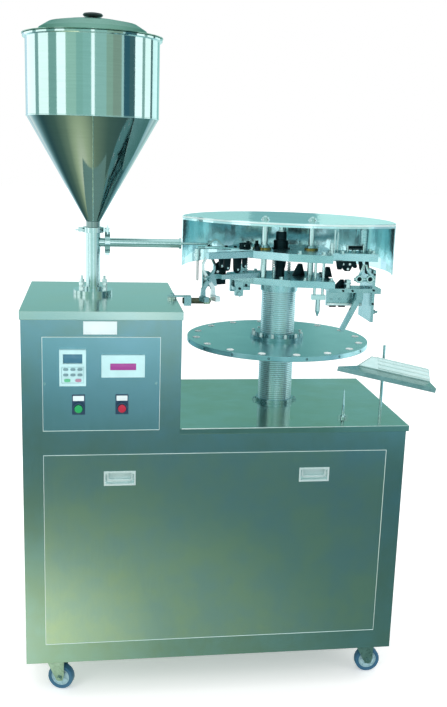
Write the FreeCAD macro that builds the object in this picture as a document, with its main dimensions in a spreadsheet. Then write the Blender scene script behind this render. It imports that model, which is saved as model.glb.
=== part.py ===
import FreeCAD, Part
import Sketcher
import os

# Semi-automatic tube filling and closing machine with a volumetric piston filler.
# Millimetres, +Z up, front towards -Y. The floor is Z = 0.

doc = FreeCAD.newDocument("VolumetricFiller")
sheet = doc.addObject("Spreadsheet::Sheet", "Sizes")


# A length that knows both its value and the sheet cells it comes from

class Dim:
    def __init__(self, text, value):
        self.text = text
        self.value = float(value)

    def __add__(self, other):
        return Dim("(%s + %s)" % (self.text, text_of(other)), self.value + value_of(other))

    def __radd__(self, other):
        return Dim("(%s + %s)" % (text_of(other), self.text), value_of(other) + self.value)

    def __sub__(self, other):
        return Dim("(%s - %s)" % (self.text, text_of(other)), self.value - value_of(other))

    def __rsub__(self, other):
        return Dim("(%s - %s)" % (text_of(other), self.text), value_of(other) - self.value)

    def __mul__(self, other):
        return Dim("%s * %s" % (self.text, text_of(other)), self.value * value_of(other))

    def __rmul__(self, other):
        return Dim("%s * %s" % (text_of(other), self.text), value_of(other) * self.value)

    def __truediv__(self, other):
        return Dim("%s / %s" % (self.text, text_of(other)), self.value / value_of(other))

    def __neg__(self):
        return Dim("(0 - %s)" % self.text, -self.value)


def text_of(size):
    return size.text if isinstance(size, Dim) else repr(float(size))


def value_of(size):
    return size.value if isinstance(size, Dim) else float(size)


def size(name, value):
    row = size.rows = size.rows + 1
    sheet.set("A%d" % row, name)
    sheet.set("B%d" % row, str(value))
    sheet.setAlias("B%d" % row, name)
    return Dim("Sizes." + name, value)


size.rows = 0

# Cabinet
cab_width = size("cab_width", 1060)
cab_depth = size("cab_depth", 520)
cab_bottom = size("cab_bottom", 115)
table_height = size("table_height", 805)
tower_rise = size("tower_rise", 320)
tower_width = size("tower_width", 420)
sheet_gauge = size("sheet_gauge", 2.5)
top_gauge = size("top_gauge", 3)
table_lip = size("table_lip", 16)
table_over = size("table_over", 6)
cover_lip = size("cover_lip", 22)
cover_over = size("cover_over", 3)
deck_drop = size("deck_drop", 105)
deck_thick = size("deck_thick", 8)
deck_set_back = size("deck_set_back", 24)
frame_x = size("frame_x", 46.34)
frame_y = size("frame_y", 28.25)
half_width = cab_width / 2
half_depth = cab_depth / 2
tower_height = table_height + tower_rise
tower_right = tower_width - half_width
deck_top = table_height - deck_drop

# Front door and its pulls
door_side = size("door_side", 54)
door_bottom = size("door_bottom", 174)
door_drop = size("door_drop", 71)
door_gauge = size("door_gauge", 2)
door_gap = size("door_gap", 0.3)
door_flange = size("door_flange", 15)
door_inset = size("door_inset", 21)
door_width = cab_width - 2 * door_side
door_height = table_height - door_drop - door_bottom
pull_width = size("pull_width", 86)
pull_height = size("pull_height", 41)
pull_depth = size("pull_depth", 16)
pull_wall = size("pull_wall", 1.5)
pull_drop = size("pull_drop", 69)
pull_inset = size("pull_inset", 204)
pull_shift = size("pull_shift", 2)
pull_level = door_bottom + door_height - pull_drop
pull_left = pull_inset - door_width / 2
pull_right = door_width / 2 - pull_inset - pull_shift
bail_wire = size("bail_wire", 2.5)

# Control panel
panel_width = size("panel_width", 310)
panel_height = size("panel_height", 257)
panel_inset = size("panel_inset", 211)
panel_drop = size("panel_drop", 67)
panel_gauge = size("panel_gauge", 2)
panel_x = tower_right - panel_inset
panel_bottom = tower_height - panel_drop - panel_height
keypad_shift = size("keypad_shift", 75.5)
keypad_width = size("keypad_width", 69)
keypad_height = size("keypad_height", 97)
keypad_rise = size("keypad_rise", 127)
keypad_depth = size("keypad_depth", 12)
keypad_x = panel_x - keypad_shift
keypad_bottom = panel_bottom + keypad_rise
counter_shift = size("counter_shift", 56)
counter_width = size("counter_width", 114)
counter_height = size("counter_height", 60)
counter_rise = size("counter_rise", 149)
counter_depth = size("counter_depth", 8)
counter_x = panel_x + counter_shift
counter_bottom = panel_bottom + counter_rise
start_shift = size("start_shift", 61)
stop_shift = size("stop_shift", 53.5)
button_rise = size("button_rise", 64)
button_radius = size("button_radius", 10.5)
button_gap = size("button_gap", 0.25)
bezel_radius = size("bezel_radius", 14.2)
start_x = panel_x - start_shift
stop_x = panel_x + stop_shift
button_level = panel_bottom + button_rise

# Casters
caster_inset = size("caster_inset", 70)
wheel_radius = size("wheel_radius", 37.5)
wheel_width = size("wheel_width", 24)
caster_trail = size("caster_trail", 26)
caster_plate = size("caster_plate", 5)
axle_radius = size("axle_radius", 4)
fork_gauge = size("fork_gauge", 3)
caster_x = half_width - caster_inset
caster_y = half_depth - caster_inset

# Hopper, metering cylinder and feed line
hopper_inset = size("hopper_inset", 233)
hopper_y = size("hopper_y", 45)
hopper_radius = size("hopper_radius", 184)
hopper_wall = size("hopper_wall", 2)
rim_over = size("rim_over", 7)
outlet_rise = size("outlet_rise", 184)
cone_height = size("cone_height", 313)
wall_height = size("wall_height", 214)
port_drop = size("port_drop", 36)
hopper_x = tower_right - hopper_inset
rim_radius = hopper_radius + rim_over
outlet_level = tower_height + outlet_rise
cone_level = outlet_level + cone_height
rim_level = cone_level + wall_height
port_level = outlet_level - port_drop
outlet_radius = size("outlet_radius", 17)
ferrule_radius = size("ferrule_radius", 25)
clamp_wall = size("clamp_wall", 5)
clamp_radius = ferrule_radius + clamp_wall
cylinder_radius = size("cylinder_radius", 21)
bore_radius = size("bore_radius", 17)
flange_radius = size("flange_radius", 58)
flange_thick = size("flange_thick", 12)
pipe_radius = size("pipe_radius", 12.5)
pipe_reach = size("pipe_reach", 255)
valve_reach = size("valve_reach", 333)
nozzle_reach = size("nozzle_reach", 305)
nozzle_radius = size("nozzle_radius", 4)
tube_radius = size("tube_radius", 3.2)
piston_gap = size("piston_gap", 0.05)
rod_radius = size("rod_radius", 8)
fit_gap = size("fit_gap", 0.05)
lid_rise = size("lid_rise", 44)

# Column, index drive and turntable
column_shift = size("column_shift", 315)
column_y = size("column_y", 20)
column_radius = size("column_radius", 50.5)
inner_radius = size("inner_radius", 30)
turntable_radius = size("turntable_radius", 270)
turntable_rise = size("turntable_rise", 195)
turntable_thick = size("turntable_thick", 14)
station_radius = size("station_radius", 245)
station_hole = size("station_hole", 6)
station_phase = 1.5
station_count = 16
hub_radius = size("hub_radius", 80)
hub_height = size("hub_height", 18)
shaft_radius = size("shaft_radius", 14)
column_x = tower_right + column_shift
turntable_top = table_height + turntable_rise

# Head
head_rise = size("head_rise", 359)
lower_thick = size("lower_thick", 20)
plate_gap = size("plate_gap", 60)
upper_thick = size("upper_thick", 22)
collar_radius = size("collar_radius", 55)
collar_height = size("collar_height", 21)
post_radius = size("post_radius", 9)
post_left = size("post_left", -55)
post_right = size("post_right", 85)
post_y = size("post_y", -28)
cover_radius = size("cover_radius", 312)
cover_rise = size("cover_rise", 188)
cover_height = size("cover_height", 149)
cover_gauge = size("cover_gauge", 2.5)
cover_shift_x = size("cover_shift_x", 18)
arc_radius = size("arc_radius", 448)
arc_shift_x = size("arc_shift_x", 103.5)
arc_shift_y = size("arc_shift_y", 292.5)
tongs_rise = size("tongs_rise", 22)
tongs_reach = size("tongs_reach", 243)
ejector_x = size("ejector_x", 219)
ejector_drop = size("ejector_drop", 26)
yoke_drop = size("yoke_drop", 38)
lower_level = table_height + head_rise
upper_level = lower_level + lower_thick + plate_gap
cover_top = lower_level + cover_rise
cover_bottom = cover_top - cover_height
cover_x = column_x + cover_shift_x
arc_x = column_x + arc_shift_x
arc_y = column_y + arc_shift_y
tongs_pivot = lower_level + tongs_rise
ejector_level = lower_level - ejector_drop

# Chute, guide pin and sensor
chute_shift_x = size("chute_shift_x", 295)
chute_shift_y = size("chute_shift_y", 130)
chute_post_radius = size("chute_post_radius", 4.5)
chute_tip_radius = size("chute_tip_radius", 4)
chute_post_rise = size("chute_post_rise", 197)
tray_rise = size("tray_rise", 125)
tray_clamp_top = size("tray_clamp_top", 26)
pin_shift_x = size("pin_shift_x", 160)
pin_shift_y = size("pin_shift_y", 205)
sensor_inset = size("sensor_inset", 10)
sensor_y = size("sensor_y", -50)
sensor_radius = size("sensor_radius", 8.5)
cam_drop = size("cam_drop", 180)
cam_shaft_radius = size("cam_shaft_radius", 15)
chute_post_x = column_x + chute_shift_x
chute_post_y = column_y - chute_shift_y
chute_post_top = table_height + chute_post_rise
tray_level = table_height + tray_rise
pin_x = column_x + pin_shift_x
pin_y = column_y - pin_shift_y
sensor_x = tower_right - sensor_inset
cam_level = deck_top - cam_drop


# Small builders: each ties its lengths and its place to the sheet

AXES = {
    "X": FreeCAD.Rotation(FreeCAD.Vector(0, 1, 0), 90),
    "Y": FreeCAD.Rotation(FreeCAD.Vector(1, 0, 0), -90),
    "Z": FreeCAD.Rotation(),
}


def bind(obj, prop, size_value):
    if isinstance(size_value, Dim):
        obj.setExpression(prop, size_value.text)
    else:
        setattr(obj, prop, size_value)


def place(obj, x, y, z, rotation=None):
    obj.Placement = FreeCAD.Placement(
        FreeCAD.Vector(value_of(x), value_of(y), value_of(z)),
        rotation or FreeCAD.Rotation())
    for letter, coordinate in zip("xyz", (x, y, z)):
        if isinstance(coordinate, Dim):
            obj.setExpression(".Placement.Base." + letter, coordinate.text)
    return obj


def box(name, x, y, z, length, width, height):
    obj = doc.addObject("Part::Box", name)
    bind(obj, "Length", length)
    bind(obj, "Width", width)
    bind(obj, "Height", height)
    return place(obj, x, y, z)


def cylinder(name, radius, height, x, y, z, axis="Z"):
    obj = doc.addObject("Part::Cylinder", name)
    bind(obj, "Radius", radius)
    bind(obj, "Height", height)
    return place(obj, x, y, z, AXES[axis])


def nut(name, radius, height, x, y, z, axis="Z"):
    obj = doc.addObject("Part::Prism", name)
    obj.Polygon = 6
    bind(obj, "Circumradius", radius)
    bind(obj, "Height", height)
    return place(obj, x, y, z, AXES[axis])


def cone(name, low_radius, high_radius, height, x, y, z, axis="Z"):
    obj = doc.addObject("Part::Cone", name)
    bind(obj, "Radius1", low_radius)
    bind(obj, "Radius2", high_radius)
    bind(obj, "Height", height)
    return place(obj, x, y, z, AXES[axis])


def fuse(name, parts):
    obj = doc.addObject("Part::MultiFuse", name)
    obj.Shapes = parts
    return obj


def common(name, parts):
    obj = doc.addObject("Part::MultiCommon", name)
    obj.Shapes = parts
    return obj


def cut(name, base, tools):
    obj = doc.addObject("Part::Cut", name)
    obj.Base = base
    obj.Tool = tools[0] if len(tools) == 1 else fuse(name + "_tools", tools)
    return obj


def group(name, parts):
    obj = doc.addObject("Part::Compound", name)
    obj.Links = parts
    return obj


def ring(name, outer, inner, height, x, y, z, axis="Z"):
    shell = cylinder(name + "_outer", outer, height, x, y, z, axis)
    hole = cylinder(name + "_bore", inner, height, x, y, z, axis)
    return cut(name, shell, [hole])


def origin_plane(body, role):
    for feature in body.Origin.OriginFeatures:
        if feature.Role == role:
            return feature


def new_body(name):
    return doc.addObject("PartDesign::Body", name)


def new_sketch(body, name, plane, offset=0):
    sketch = body.newObject("Sketcher::SketchObject", name)
    sketch.AttachmentSupport = (origin_plane(body, plane), [""])
    sketch.MapMode = "FlatFace"
    sketch.AttachmentOffset = FreeCAD.Placement(
        FreeCAD.Vector(0, 0, value_of(offset)), FreeCAD.Rotation())
    if isinstance(offset, Dim):
        sketch.setExpression(".AttachmentOffset.Base.z", offset.text)
    return sketch


def tie(sketch, kind, item, size_value, point=1):
    index = sketch.addConstraint(constraint(kind, item, point, value_of(size_value)))
    if isinstance(size_value, Dim):
        sketch.setExpression("Constraints[%d]" % index, size_value.text)


def constraint(kind, item, point, number):
    if kind == "Radius":
        return Sketcher.Constraint("Radius", item, number)
    return Sketcher.Constraint(kind, -1, 1, item, point, number)


def add_outline(sketch, points):
    first = sketch.GeometryCount
    count = len(points)
    corners = [FreeCAD.Vector(value_of(p[0]), value_of(p[1]), 0) for p in points]
    for i in range(count):
        sketch.addGeometry(Part.LineSegment(corners[i], corners[(i + 1) % count]), False)
    for i in range(count):
        follower = first + (i + 1) % count
        sketch.addConstraint(Sketcher.Constraint("Coincident", first + i, 2, follower, 1))
    for i in range(count):
        tie(sketch, "DistanceX", first + i, points[i][0])
        tie(sketch, "DistanceY", first + i, points[i][1])


def add_circle(sketch, x, y, radius):
    centre = FreeCAD.Vector(value_of(x), value_of(y), 0)
    item = sketch.addGeometry(Part.Circle(centre, FreeCAD.Vector(0, 0, 1), value_of(radius)), False)
    tie(sketch, "DistanceX", item, x, 3)
    tie(sketch, "DistanceY", item, y, 3)
    tie(sketch, "Radius", item, radius)


def pad(body, name, plane, offset, length, outline=None, circles=()):
    sketch = new_sketch(body, name + "_sketch", plane, offset)
    if outline:
        add_outline(sketch, outline)
    for circle in circles:
        add_circle(sketch, *circle)
    feature = body.newObject("PartDesign::Pad", name)
    feature.Profile = sketch
    bind(feature, "Length", length)
    sketch.Visibility = False
    return feature


def pocket(body, name, plane, offset, length, outline=None, circles=()):
    sketch = new_sketch(body, name + "_sketch", plane, offset)
    if outline:
        add_outline(sketch, outline)
    for circle in circles:
        add_circle(sketch, *circle)
    feature = body.newObject("PartDesign::Pocket", name)
    feature.Profile = sketch
    bind(feature, "Length", length)
    return feature


def revolve(body, name, outline):
    sketch = new_sketch(body, name + "_sketch", "XZ_Plane")
    add_outline(sketch, outline)
    feature = body.newObject("PartDesign::Revolution", name)
    feature.Profile = sketch
    feature.ReferenceAxis = (sketch, ["V_Axis"])
    feature.Angle = 360
    return feature


def polar(body, name, feature, count):
    pattern = body.newObject("PartDesign::PolarPattern", name)
    pattern.Originals = [feature]
    pattern.Axis = (feature.Profile[0], ["N_Axis"])
    pattern.Angle = 360
    pattern.Occurrences = count
    body.Tip = pattern
    return pattern


NODES = []


def piece(obj, label, x=0, y=0, z=0, turn=0, rotation=None):
    obj.Label = label
    turned = rotation or FreeCAD.Rotation(FreeCAD.Vector(0, 0, 1), turn)
    place(obj, x - frame_x, y - frame_y, z, turned)
    NODES.append(obj)
    return obj


shell_top = table_height - top_gauge
tower_top = tower_height - top_gauge

# Cabinet shell: one welded box with the tower on its left

outer = fuse("shell_outer", [
    box("shell_base", -half_width, -half_depth, cab_bottom,
        cab_width, cab_depth, shell_top - cab_bottom),
    box("shell_tower", -half_width, -half_depth, cab_bottom,
        tower_width, cab_depth, tower_top - cab_bottom),
])
hollow_x = sheet_gauge - half_width
hollow_y = sheet_gauge - half_depth
hollow_z = cab_bottom + sheet_gauge
shell_hollow = [
    box("shell_room", hollow_x, hollow_y, hollow_z,
        cab_width - 2 * sheet_gauge, cab_depth - 2 * sheet_gauge, table_height - hollow_z),
    box("shell_shaft", hollow_x, hollow_y, hollow_z,
        tower_width - 2 * sheet_gauge, cab_depth - 2 * sheet_gauge, tower_height - hollow_z),
    box("door_opening", 20 - door_width / 2, -half_depth - 5, door_bottom + 20,
        door_width - 40, 20, door_height - 40),
    box("panel_opening", panel_x - panel_width / 2 + 12, -half_depth - 5, panel_bottom + 12,
        panel_width - 24, 20, panel_height - 24),
    box("back_opening", 100 - half_width, half_depth - 10, 200, cab_width - 200, 20,
        table_height - 345),
]
piece(cut("cabinet", outer, shell_hollow), "cabinet_shell")

# Polished table top with a folded lip on its three free edges

table_left = tower_right
table_length = half_width + table_over - table_left
table_skin = box("table_skin", table_left, -half_depth - table_over, table_height - table_lip,
                 table_length, cab_depth + 2 * table_over, table_lip)
table_void = box("table_void", table_left - 5, top_gauge - half_depth - table_over,
                 table_height - table_lip - 5, table_length + 5 - top_gauge,
                 cab_depth + 2 * table_over - 2 * top_gauge, table_lip + 5 - top_gauge)
piece(cut("table", table_skin, [
    table_void,
    cylinder("table_column_hole", column_radius + 1, 20, column_x, column_y, table_height - 10),
    cylinder("table_post_hole", chute_post_radius, 20, chute_post_x, chute_post_y,
             table_height - 10),
    cylinder("table_pin_hole", 3, 20, pin_x, pin_y, table_height - 10),
]), "table_top")

# Tower cover with its deeper folded lip

cover_skin = box("cover_skin", -half_width - cover_over, -half_depth - cover_over,
                 tower_height - cover_lip, tower_width + 2 * cover_over,
                 cab_depth + 2 * cover_over, cover_lip)
lip_gauge = cover_over - 0.5
cover_void = box("cover_void", lip_gauge - half_width - cover_over,
                 lip_gauge - half_depth - cover_over, tower_height - cover_lip - 5,
                 tower_width + 2 * cover_over - 2 * lip_gauge,
                 cab_depth + 2 * cover_over - 2 * lip_gauge, cover_lip + 5 - top_gauge)
tower_lid = cut("tower_lid", cover_skin, [
    cover_void,
    cylinder("tower_rod_hole", rod_radius + 4, 20, hopper_x, hopper_y, tower_height - 10),
])
piece(fuse("tower_lid_boss", [
    tower_lid,
    cylinder("arm_base_pad", 13, 6, sensor_x, sensor_y, tower_height),
    cylinder("arm_base_pin", 4, 14, sensor_x, sensor_y, tower_height),
]), "tower_cover")

# Rear service panel with three rows of cooling slots

back = box("back_sheet", 85 - half_width, half_depth, 185, cab_width - 170, 2,
           table_height - 315)
slots = []
slot_length = size("slot_length", 220)
slot_inset = size("slot_inset", 200)
for row in range(6):
    level = 250 + 24 * row
    slots.append(box("back_slot_left_%d" % row, slot_inset - half_width, half_depth - 5, level,
                     slot_length, 12, 8))
    slots.append(box("back_slot_right_%d" % row, half_width - slot_inset - slot_length,
                     half_depth - 5, level, slot_length, 12, 8))
piece(cut("service_panel", back, slots), "back_panel")

# Inner deck: the plate that carries the column, with two hangers for the cam shaft

deck = box("deck_plate", hollow_x, hollow_y + deck_set_back, deck_top - deck_thick,
           cab_width - 2 * sheet_gauge, cab_depth - 2 * sheet_gauge - deck_set_back, deck_thick)
hanger_drop = deck_top - deck_thick - cam_level + 35
hangers = []
for name, x in (("hanger_left", hopper_x - 57), ("hanger_right", column_x - 85)):
    hangers.append(box(name, x, column_y - 35, cam_level - 35, 12, 70, hanger_drop))
piece(cut("deck", fuse("deck_body", [deck] + hangers), [
    cylinder("deck_column_hole", shaft_radius + 2, 60, column_x, column_y, deck_top - 30),
    cylinder("deck_rod_hole", rod_radius + 2, 60, hopper_x, hopper_y, deck_top - 30),
    cylinder("deck_shaft_hole", cam_shaft_radius + fit_gap, column_x - hopper_x + 152,
             hopper_x - 107, column_y, cam_level, "X"),
]), "inner_deck")

# Control panel and what is set in it

panel_face = -half_depth - panel_gauge
panel = box("panel_sheet", panel_x - panel_width / 2, panel_face, panel_bottom,
            panel_width, panel_gauge, panel_height)
panel_holes = []
for name, x in (("start", start_x), ("stop", stop_x)):
    panel_holes.append(cylinder("panel_hole_" + name, button_radius + button_gap, 20,
                                x, panel_face - 10, button_level, "Y"))
piece(cut("panel", panel, panel_holes), "control_panel")

keypad = box("keypad_block", keypad_x - keypad_width / 2, panel_face - keypad_depth,
             keypad_bottom, keypad_width, keypad_depth, keypad_height)
keypad_void = [
    box("keypad_screen_recess", keypad_x - 25, panel_face - keypad_depth - 1,
        keypad_bottom + 60, 50, 4, 26),
    box("keypad_key_recess", keypad_x - 29, panel_face - keypad_depth - 1,
        keypad_bottom + 8, 58, 3, 44),
]
piece(cut("keypad", keypad, keypad_void), "keypad_housing")

mat_face = panel_face - keypad_depth + 2
keys = [box("mat_base", keypad_x - 29, mat_face - 1, keypad_bottom + 8, 58, 1, 44)]
for column in range(3):
    for row in range(2):
        keys.append(box("mat_key_%d_%d" % (column, row), keypad_x - 24.5 + 18 * column,
                        mat_face - 3.5, keypad_bottom + 28 + 13 * row, 13, 2.6, 8))
for name, x in (("run", -14), ("halt", 14)):
    keys.append(box("mat_" + name, keypad_x + x - 6, mat_face - 3.5, keypad_bottom + 11,
                    12, 2.6, 10))
    for side in (-6, 6):
        keys.append(cylinder("mat_%s_end%d" % (name, side), 5, 2.6, keypad_x + x + side,
                             mat_face - 3.5, keypad_bottom + 16, "Y"))
piece(fuse("mat", keys), "key_mat")

counter = box("counter_block", counter_x - counter_width / 2, panel_face - counter_depth,
              counter_bottom, counter_width, counter_depth, counter_height)
piece(cut("counter", counter, [
    box("counter_recess", counter_x - 34, panel_face - counter_depth - 1,
        counter_bottom + 20, 68, 4, 18),
]), "counter_bezel")
piece(group("windows", [
    box("screen_glass", keypad_x - 25, panel_face - keypad_depth + 1, keypad_bottom + 60, 50, 2, 26),
    box("counter_glass", counter_x - 34, panel_face - counter_depth + 1, counter_bottom + 20,
        68, 2, 18),
]), "display_windows")

holders = []
for name, x in (("start", start_x), ("stop", stop_x)):
    frame = box("holder_" + name, x - 17, panel_face - 2, button_level - 18, 34, 2, 55)
    collar = cylinder("holder_collar_" + name, bezel_radius, 7, x, panel_face - 7, button_level, "Y")
    bore = cylinder("holder_bore_" + name, button_radius + button_gap, 20, x, panel_face - 15,
                    button_level, "Y")
    holders.append(cut("holder_cut_" + name, fuse("holder_body_" + name, [frame, collar]), [bore]))
piece(group("holders", holders), "button_holders")


def push_button(name, x):
    cap = cylinder(name + "_cap", button_radius, 24, x, panel_face - 12, button_level, "Y")
    foot = cylinder(name + "_foot", button_radius + 3, 3, x, 0.3 - half_depth, button_level, "Y")
    return fuse(name, [cap, foot])


piece(push_button("start", start_x), "start_button")
piece(push_button("stop", stop_x), "stop_button")

# Lift-off front panel with folded edges, its two recessed pulls and their bails

door_back = -half_depth - door_gap
door_face = door_back - door_gauge
flange_depth = door_flange + door_gauge
door_skin = box("door_skin", -door_width / 2, door_face, door_bottom,
                door_width, door_gauge, door_height)
door_rim = box("door_rim", door_inset - door_width / 2, door_face, door_bottom + door_inset,
               door_width - 2 * door_inset, flange_depth, door_height - 2 * door_inset)
door_void = box("door_void", door_inset + door_gauge - door_width / 2, door_back,
                door_bottom + door_inset + door_gauge,
                door_width - 2 * door_inset - 2 * door_gauge, 40,
                door_height - 2 * door_inset - 2 * door_gauge)
pull_holes = []
for name, x in (("left", pull_left), ("right", pull_right)):
    pull_holes.append(box("door_pull_" + name, x - pull_width / 2 + 3, door_face - 5,
                          pull_level - pull_height / 2 + 3, pull_width - 6, 30, pull_height - 6))
piece(cut("door", fuse("door_body", [door_skin, door_rim]), [door_void] + pull_holes), "front_door")


def recessed_pull(name, x):
    brim = box(name + "_brim", x - pull_width / 2, door_face - pull_wall,
               pull_level - pull_height / 2, pull_width, pull_wall, pull_height)
    cup = box(name + "_cup", x - pull_width / 2 + 3, door_face - pull_wall,
              pull_level - pull_height / 2 + 3, pull_width - 6, pull_depth, pull_height - 6)
    void = box(name + "_void", x - pull_width / 2 + 3 + pull_wall, door_face - pull_wall - 1,
               pull_level - pull_height / 2 + 3 + pull_wall, pull_width - 6 - 2 * pull_wall,
               pull_depth + 1 - pull_wall, pull_height - 6 - 2 * pull_wall)
    return cut(name, fuse(name + "_body", [brim, cup]), [void])


piece(group("pulls", [recessed_pull("pull_left_cup", pull_left),
                      recessed_pull("pull_right_cup", pull_right)]), "handle_pans")

bail_half = pull_width / 2 - 3 - pull_wall - 0.3
bail_level = pull_level + pull_height / 2 - 3 - pull_wall - 0.3 - bail_wire
bail_y = door_face + 4
bail_drop = 21


def bail(name, x):
    body = new_body(name + "_loop")
    half = bail_half - 3
    foot = bail_level - bail_drop
    pad(body, name + "_pad", "XZ_Plane", -bail_y - 2, 4,
        [(x - half, foot + 3), (x - half + 5, foot - 2), (x + half - 5, foot - 2), (x + half, foot + 3),
         (x + half, bail_level + 2), (x + half - 5, bail_level + 2), (x + half - 5, foot + 5),
         (x + half - 7, foot + 3), (x - half + 7, foot + 3), (x - half + 5, foot + 5),
         (x - half + 5, bail_level + 2), (x - half, bail_level + 2)])
    pins = [cylinder(name + "_pin_left", bail_wire, 5, x - bail_half, bail_y, bail_level, "X"),
            cylinder(name + "_pin_right", bail_wire, 5, x + bail_half - 5, bail_y, bail_level, "X")]
    return fuse(name, [body] + pins)


piece(bail("bail_left", pull_left), "left_bail")
piece(bail("bail_right", pull_right), "right_bail")

# Four swivel casters

corners = (("front_left", -1, -1, -20), ("front_right", 1, -1, 0),
           ("rear_left", -1, 1, 0), ("rear_right", 1, 1, 0))
plates = []
for name, side, end, turn in corners:
    plate = box("plate_" + name, caster_x * side - 45, caster_y * end - 35,
                cab_bottom - caster_plate, 90, 70, caster_plate)
    race = cylinder("race_" + name, 24, 6, caster_x * side, caster_y * end,
                    cab_bottom - caster_plate - 6)
    plates.append(fuse("caster_top_" + name, [plate, race]))
piece(group("caster_tops", plates), "caster_plates")

fork_top = cab_bottom - caster_plate - 6.3
fork_half = wheel_width / 2 + 2


def fork(name):
    crown = cylinder(name + "_crown", 22, 8, 0, 0, fork_top - 8)
    bridge = box(name + "_bridge", -16, -fork_half - fork_gauge, fork_top - 8 - fork_gauge,
                 caster_trail + 30, 2 * fork_half + 2 * fork_gauge, fork_gauge)
    cheeks = []
    for side in (-1, 1):
        body = new_body("%s_cheek%d" % (name, side))
        offset = fork_half * side if side > 0 else -fork_half - fork_gauge
        top = fork_top - 8 - fork_gauge
        pad(body, "%s_cheek_pad%d" % (name, side), "XZ_Plane", -offset - fork_gauge, fork_gauge,
            [(-16, top), (caster_trail - 9, wheel_radius - 8), (caster_trail + 9, wheel_radius - 8),
             (caster_trail + 14, wheel_radius + 8), (caster_trail + 14, top)])
        cheeks.append(body)
    axle = cylinder(name + "_axle", axle_radius, 2 * fork_half + 2 * fork_gauge + 4,
                    caster_trail, -fork_half - fork_gauge - 2, wheel_radius, "Y")
    return fuse(name, [crown, bridge, axle] + cheeks)


def wheel(name):
    body = new_body(name)
    half = wheel_width / 2
    tread = wheel_radius - 3
    revolve(body, name + "_turn", [
        (axle_radius + fit_gap, -half - 1), (11, -half - 1), (12, 2 - half), (25, 2 - half),
        (27, -half), (tread, -half), (wheel_radius, 4 - half), (wheel_radius, half - 4), (tread, half),
        (27, half), (25, half - 2), (12, half - 2), (11, half + 1), (axle_radius + fit_gap, half + 1)])
    return body


lying = FreeCAD.Rotation(FreeCAD.Vector(1, 0, 0), 90)
for name, side, end, turn in corners:
    swing = FreeCAD.Rotation(FreeCAD.Vector(0, 0, 1), turn)
    piece(fork("fork_" + name), "caster_fork_" + name, caster_x * side, caster_y * end, 0, turn)
    reach = swing.multVec(FreeCAD.Vector(1, 0, 0))
    piece(wheel("roller_" + name), "caster_wheel_" + name, caster_x * side + caster_trail * reach.x,
          caster_y * end + caster_trail * reach.y, wheel_radius, rotation=swing.multiply(lying))

# Hopper: rolled rim, straight wall, long cone and outlet ferrule

hopper = new_body("hopper_body")
inner = hopper_radius - hopper_wall
spout = outlet_radius + 3
revolve(hopper, "hopper_turn", [
    (inner, rim_level), (rim_radius - 2, rim_level), (rim_radius, rim_level - 2),
    (rim_radius, rim_level - 7), (rim_radius - 2, rim_level - 9), (hopper_radius, rim_level - 9),
    (hopper_radius, cone_level), (spout, outlet_level + 24), (spout, outlet_level + 8),
    (ferrule_radius, outlet_level + 5), (ferrule_radius, outlet_level),
    (outlet_radius, outlet_level), (outlet_radius, outlet_level + 24), (inner, cone_level)])
piece(hopper, "hopper", hopper_x, hopper_y)

lid = new_body("lid_body")
seat = rim_level + 0.3
brim = rim_radius + 2
lid_sheet = 2
dome = [(0, 1), (0.42, 0.93), (0.67, 0.75), (0.81, 0.4), (0.852, 0.045)]
dome_outside = [(inner * part, seat + lid_rise * rise) for part, rise in dome]
dome_inside = [((inner - lid_sheet) * part, seat + lid_rise * rise - lid_sheet)
               for part, rise in reversed(dome)]
revolve(lid, "lid_turn", dome_outside + [
    (brim, seat + 2), (brim, seat), (inner - 2, seat), (inner - 2, seat - 10),
    (inner - 4, seat - 10), (inner - 4, seat)] + dome_inside)
piece(lid, "hopper_lid", hopper_x, hopper_y)

knob = new_body("knob_body")
knob_foot = seat + lid_rise
revolve(knob, "knob_turn", [
    (0, knob_foot), (13, knob_foot - 0.2), (12, knob_foot + 5), (24, knob_foot + 8),
    (28, knob_foot + 12), (25, knob_foot + 16.5), (14, knob_foot + 18.5), (0, knob_foot + 18.5)])
piece(knob, "lid_knob", hopper_x, hopper_y)

# Metering cylinder: ported tube on a bolted base flange, with the piston inside

cylinder_top = outlet_level
tube_body = fuse("metering_body", [
    cylinder("metering_tube", cylinder_radius, cylinder_top - tower_height, 0, 0, tower_height),
    cylinder("metering_flange", flange_radius, flange_thick, 0, 0, tower_height),
    cylinder("metering_hub", 30, 22, 0, 0, tower_height),
    cylinder("metering_ferrule", ferrule_radius, 5, 0, 0, cylinder_top - 5),
])
gland_level = tower_height + 22
metering = cut("metering", tube_body, [
    cylinder("metering_bore", bore_radius, 400, 0, 0, gland_level),
    cylinder("metering_gland", rod_radius + fit_gap, 60, 0, 0, tower_height - 5),
    cylinder("metering_side_hole", 9, 60, 0, 0, port_level, "X"),
])
side_port = cut("side_port", fuse("side_port_body", [
    cylinder("side_port_tube", pipe_radius, 41, 0, 0, port_level, "X"),
    cylinder("side_port_ferrule", ferrule_radius, 4, 37, 0, port_level, "X"),
]), [
    cylinder("side_port_saddle", cylinder_radius, 80, 0, 0, port_level - 40),
    cylinder("side_port_bore", 9, 60, 0, 0, port_level, "X"),
])
piece(group("metering_parts", [metering, side_port]), "metering_cylinder", hopper_x, hopper_y)

studs = []
for i, (sx, sy) in enumerate(((1, 1), (-1, 1), (-1, -1), (1, -1))):
    studs.append(fuse("stud_%d" % i, [
        cylinder("stud_rod_%d" % i, 4, 34, 33 * sx, 33 * sy, tower_height + flange_thick),
        cylinder("stud_washer_%d" % i, 8, 2, 33 * sx, 33 * sy, tower_height + flange_thick),
        nut("stud_nut_%d" % i, 7.5, 8, 33 * sx, 33 * sy, tower_height + flange_thick + 2),
        nut("stud_cap_%d" % i, 7.5, 8, 33 * sx, 33 * sy, tower_height + flange_thick + 16),
    ]))
piece(group("studs", studs), "base_studs", hopper_x, hopper_y)

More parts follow.
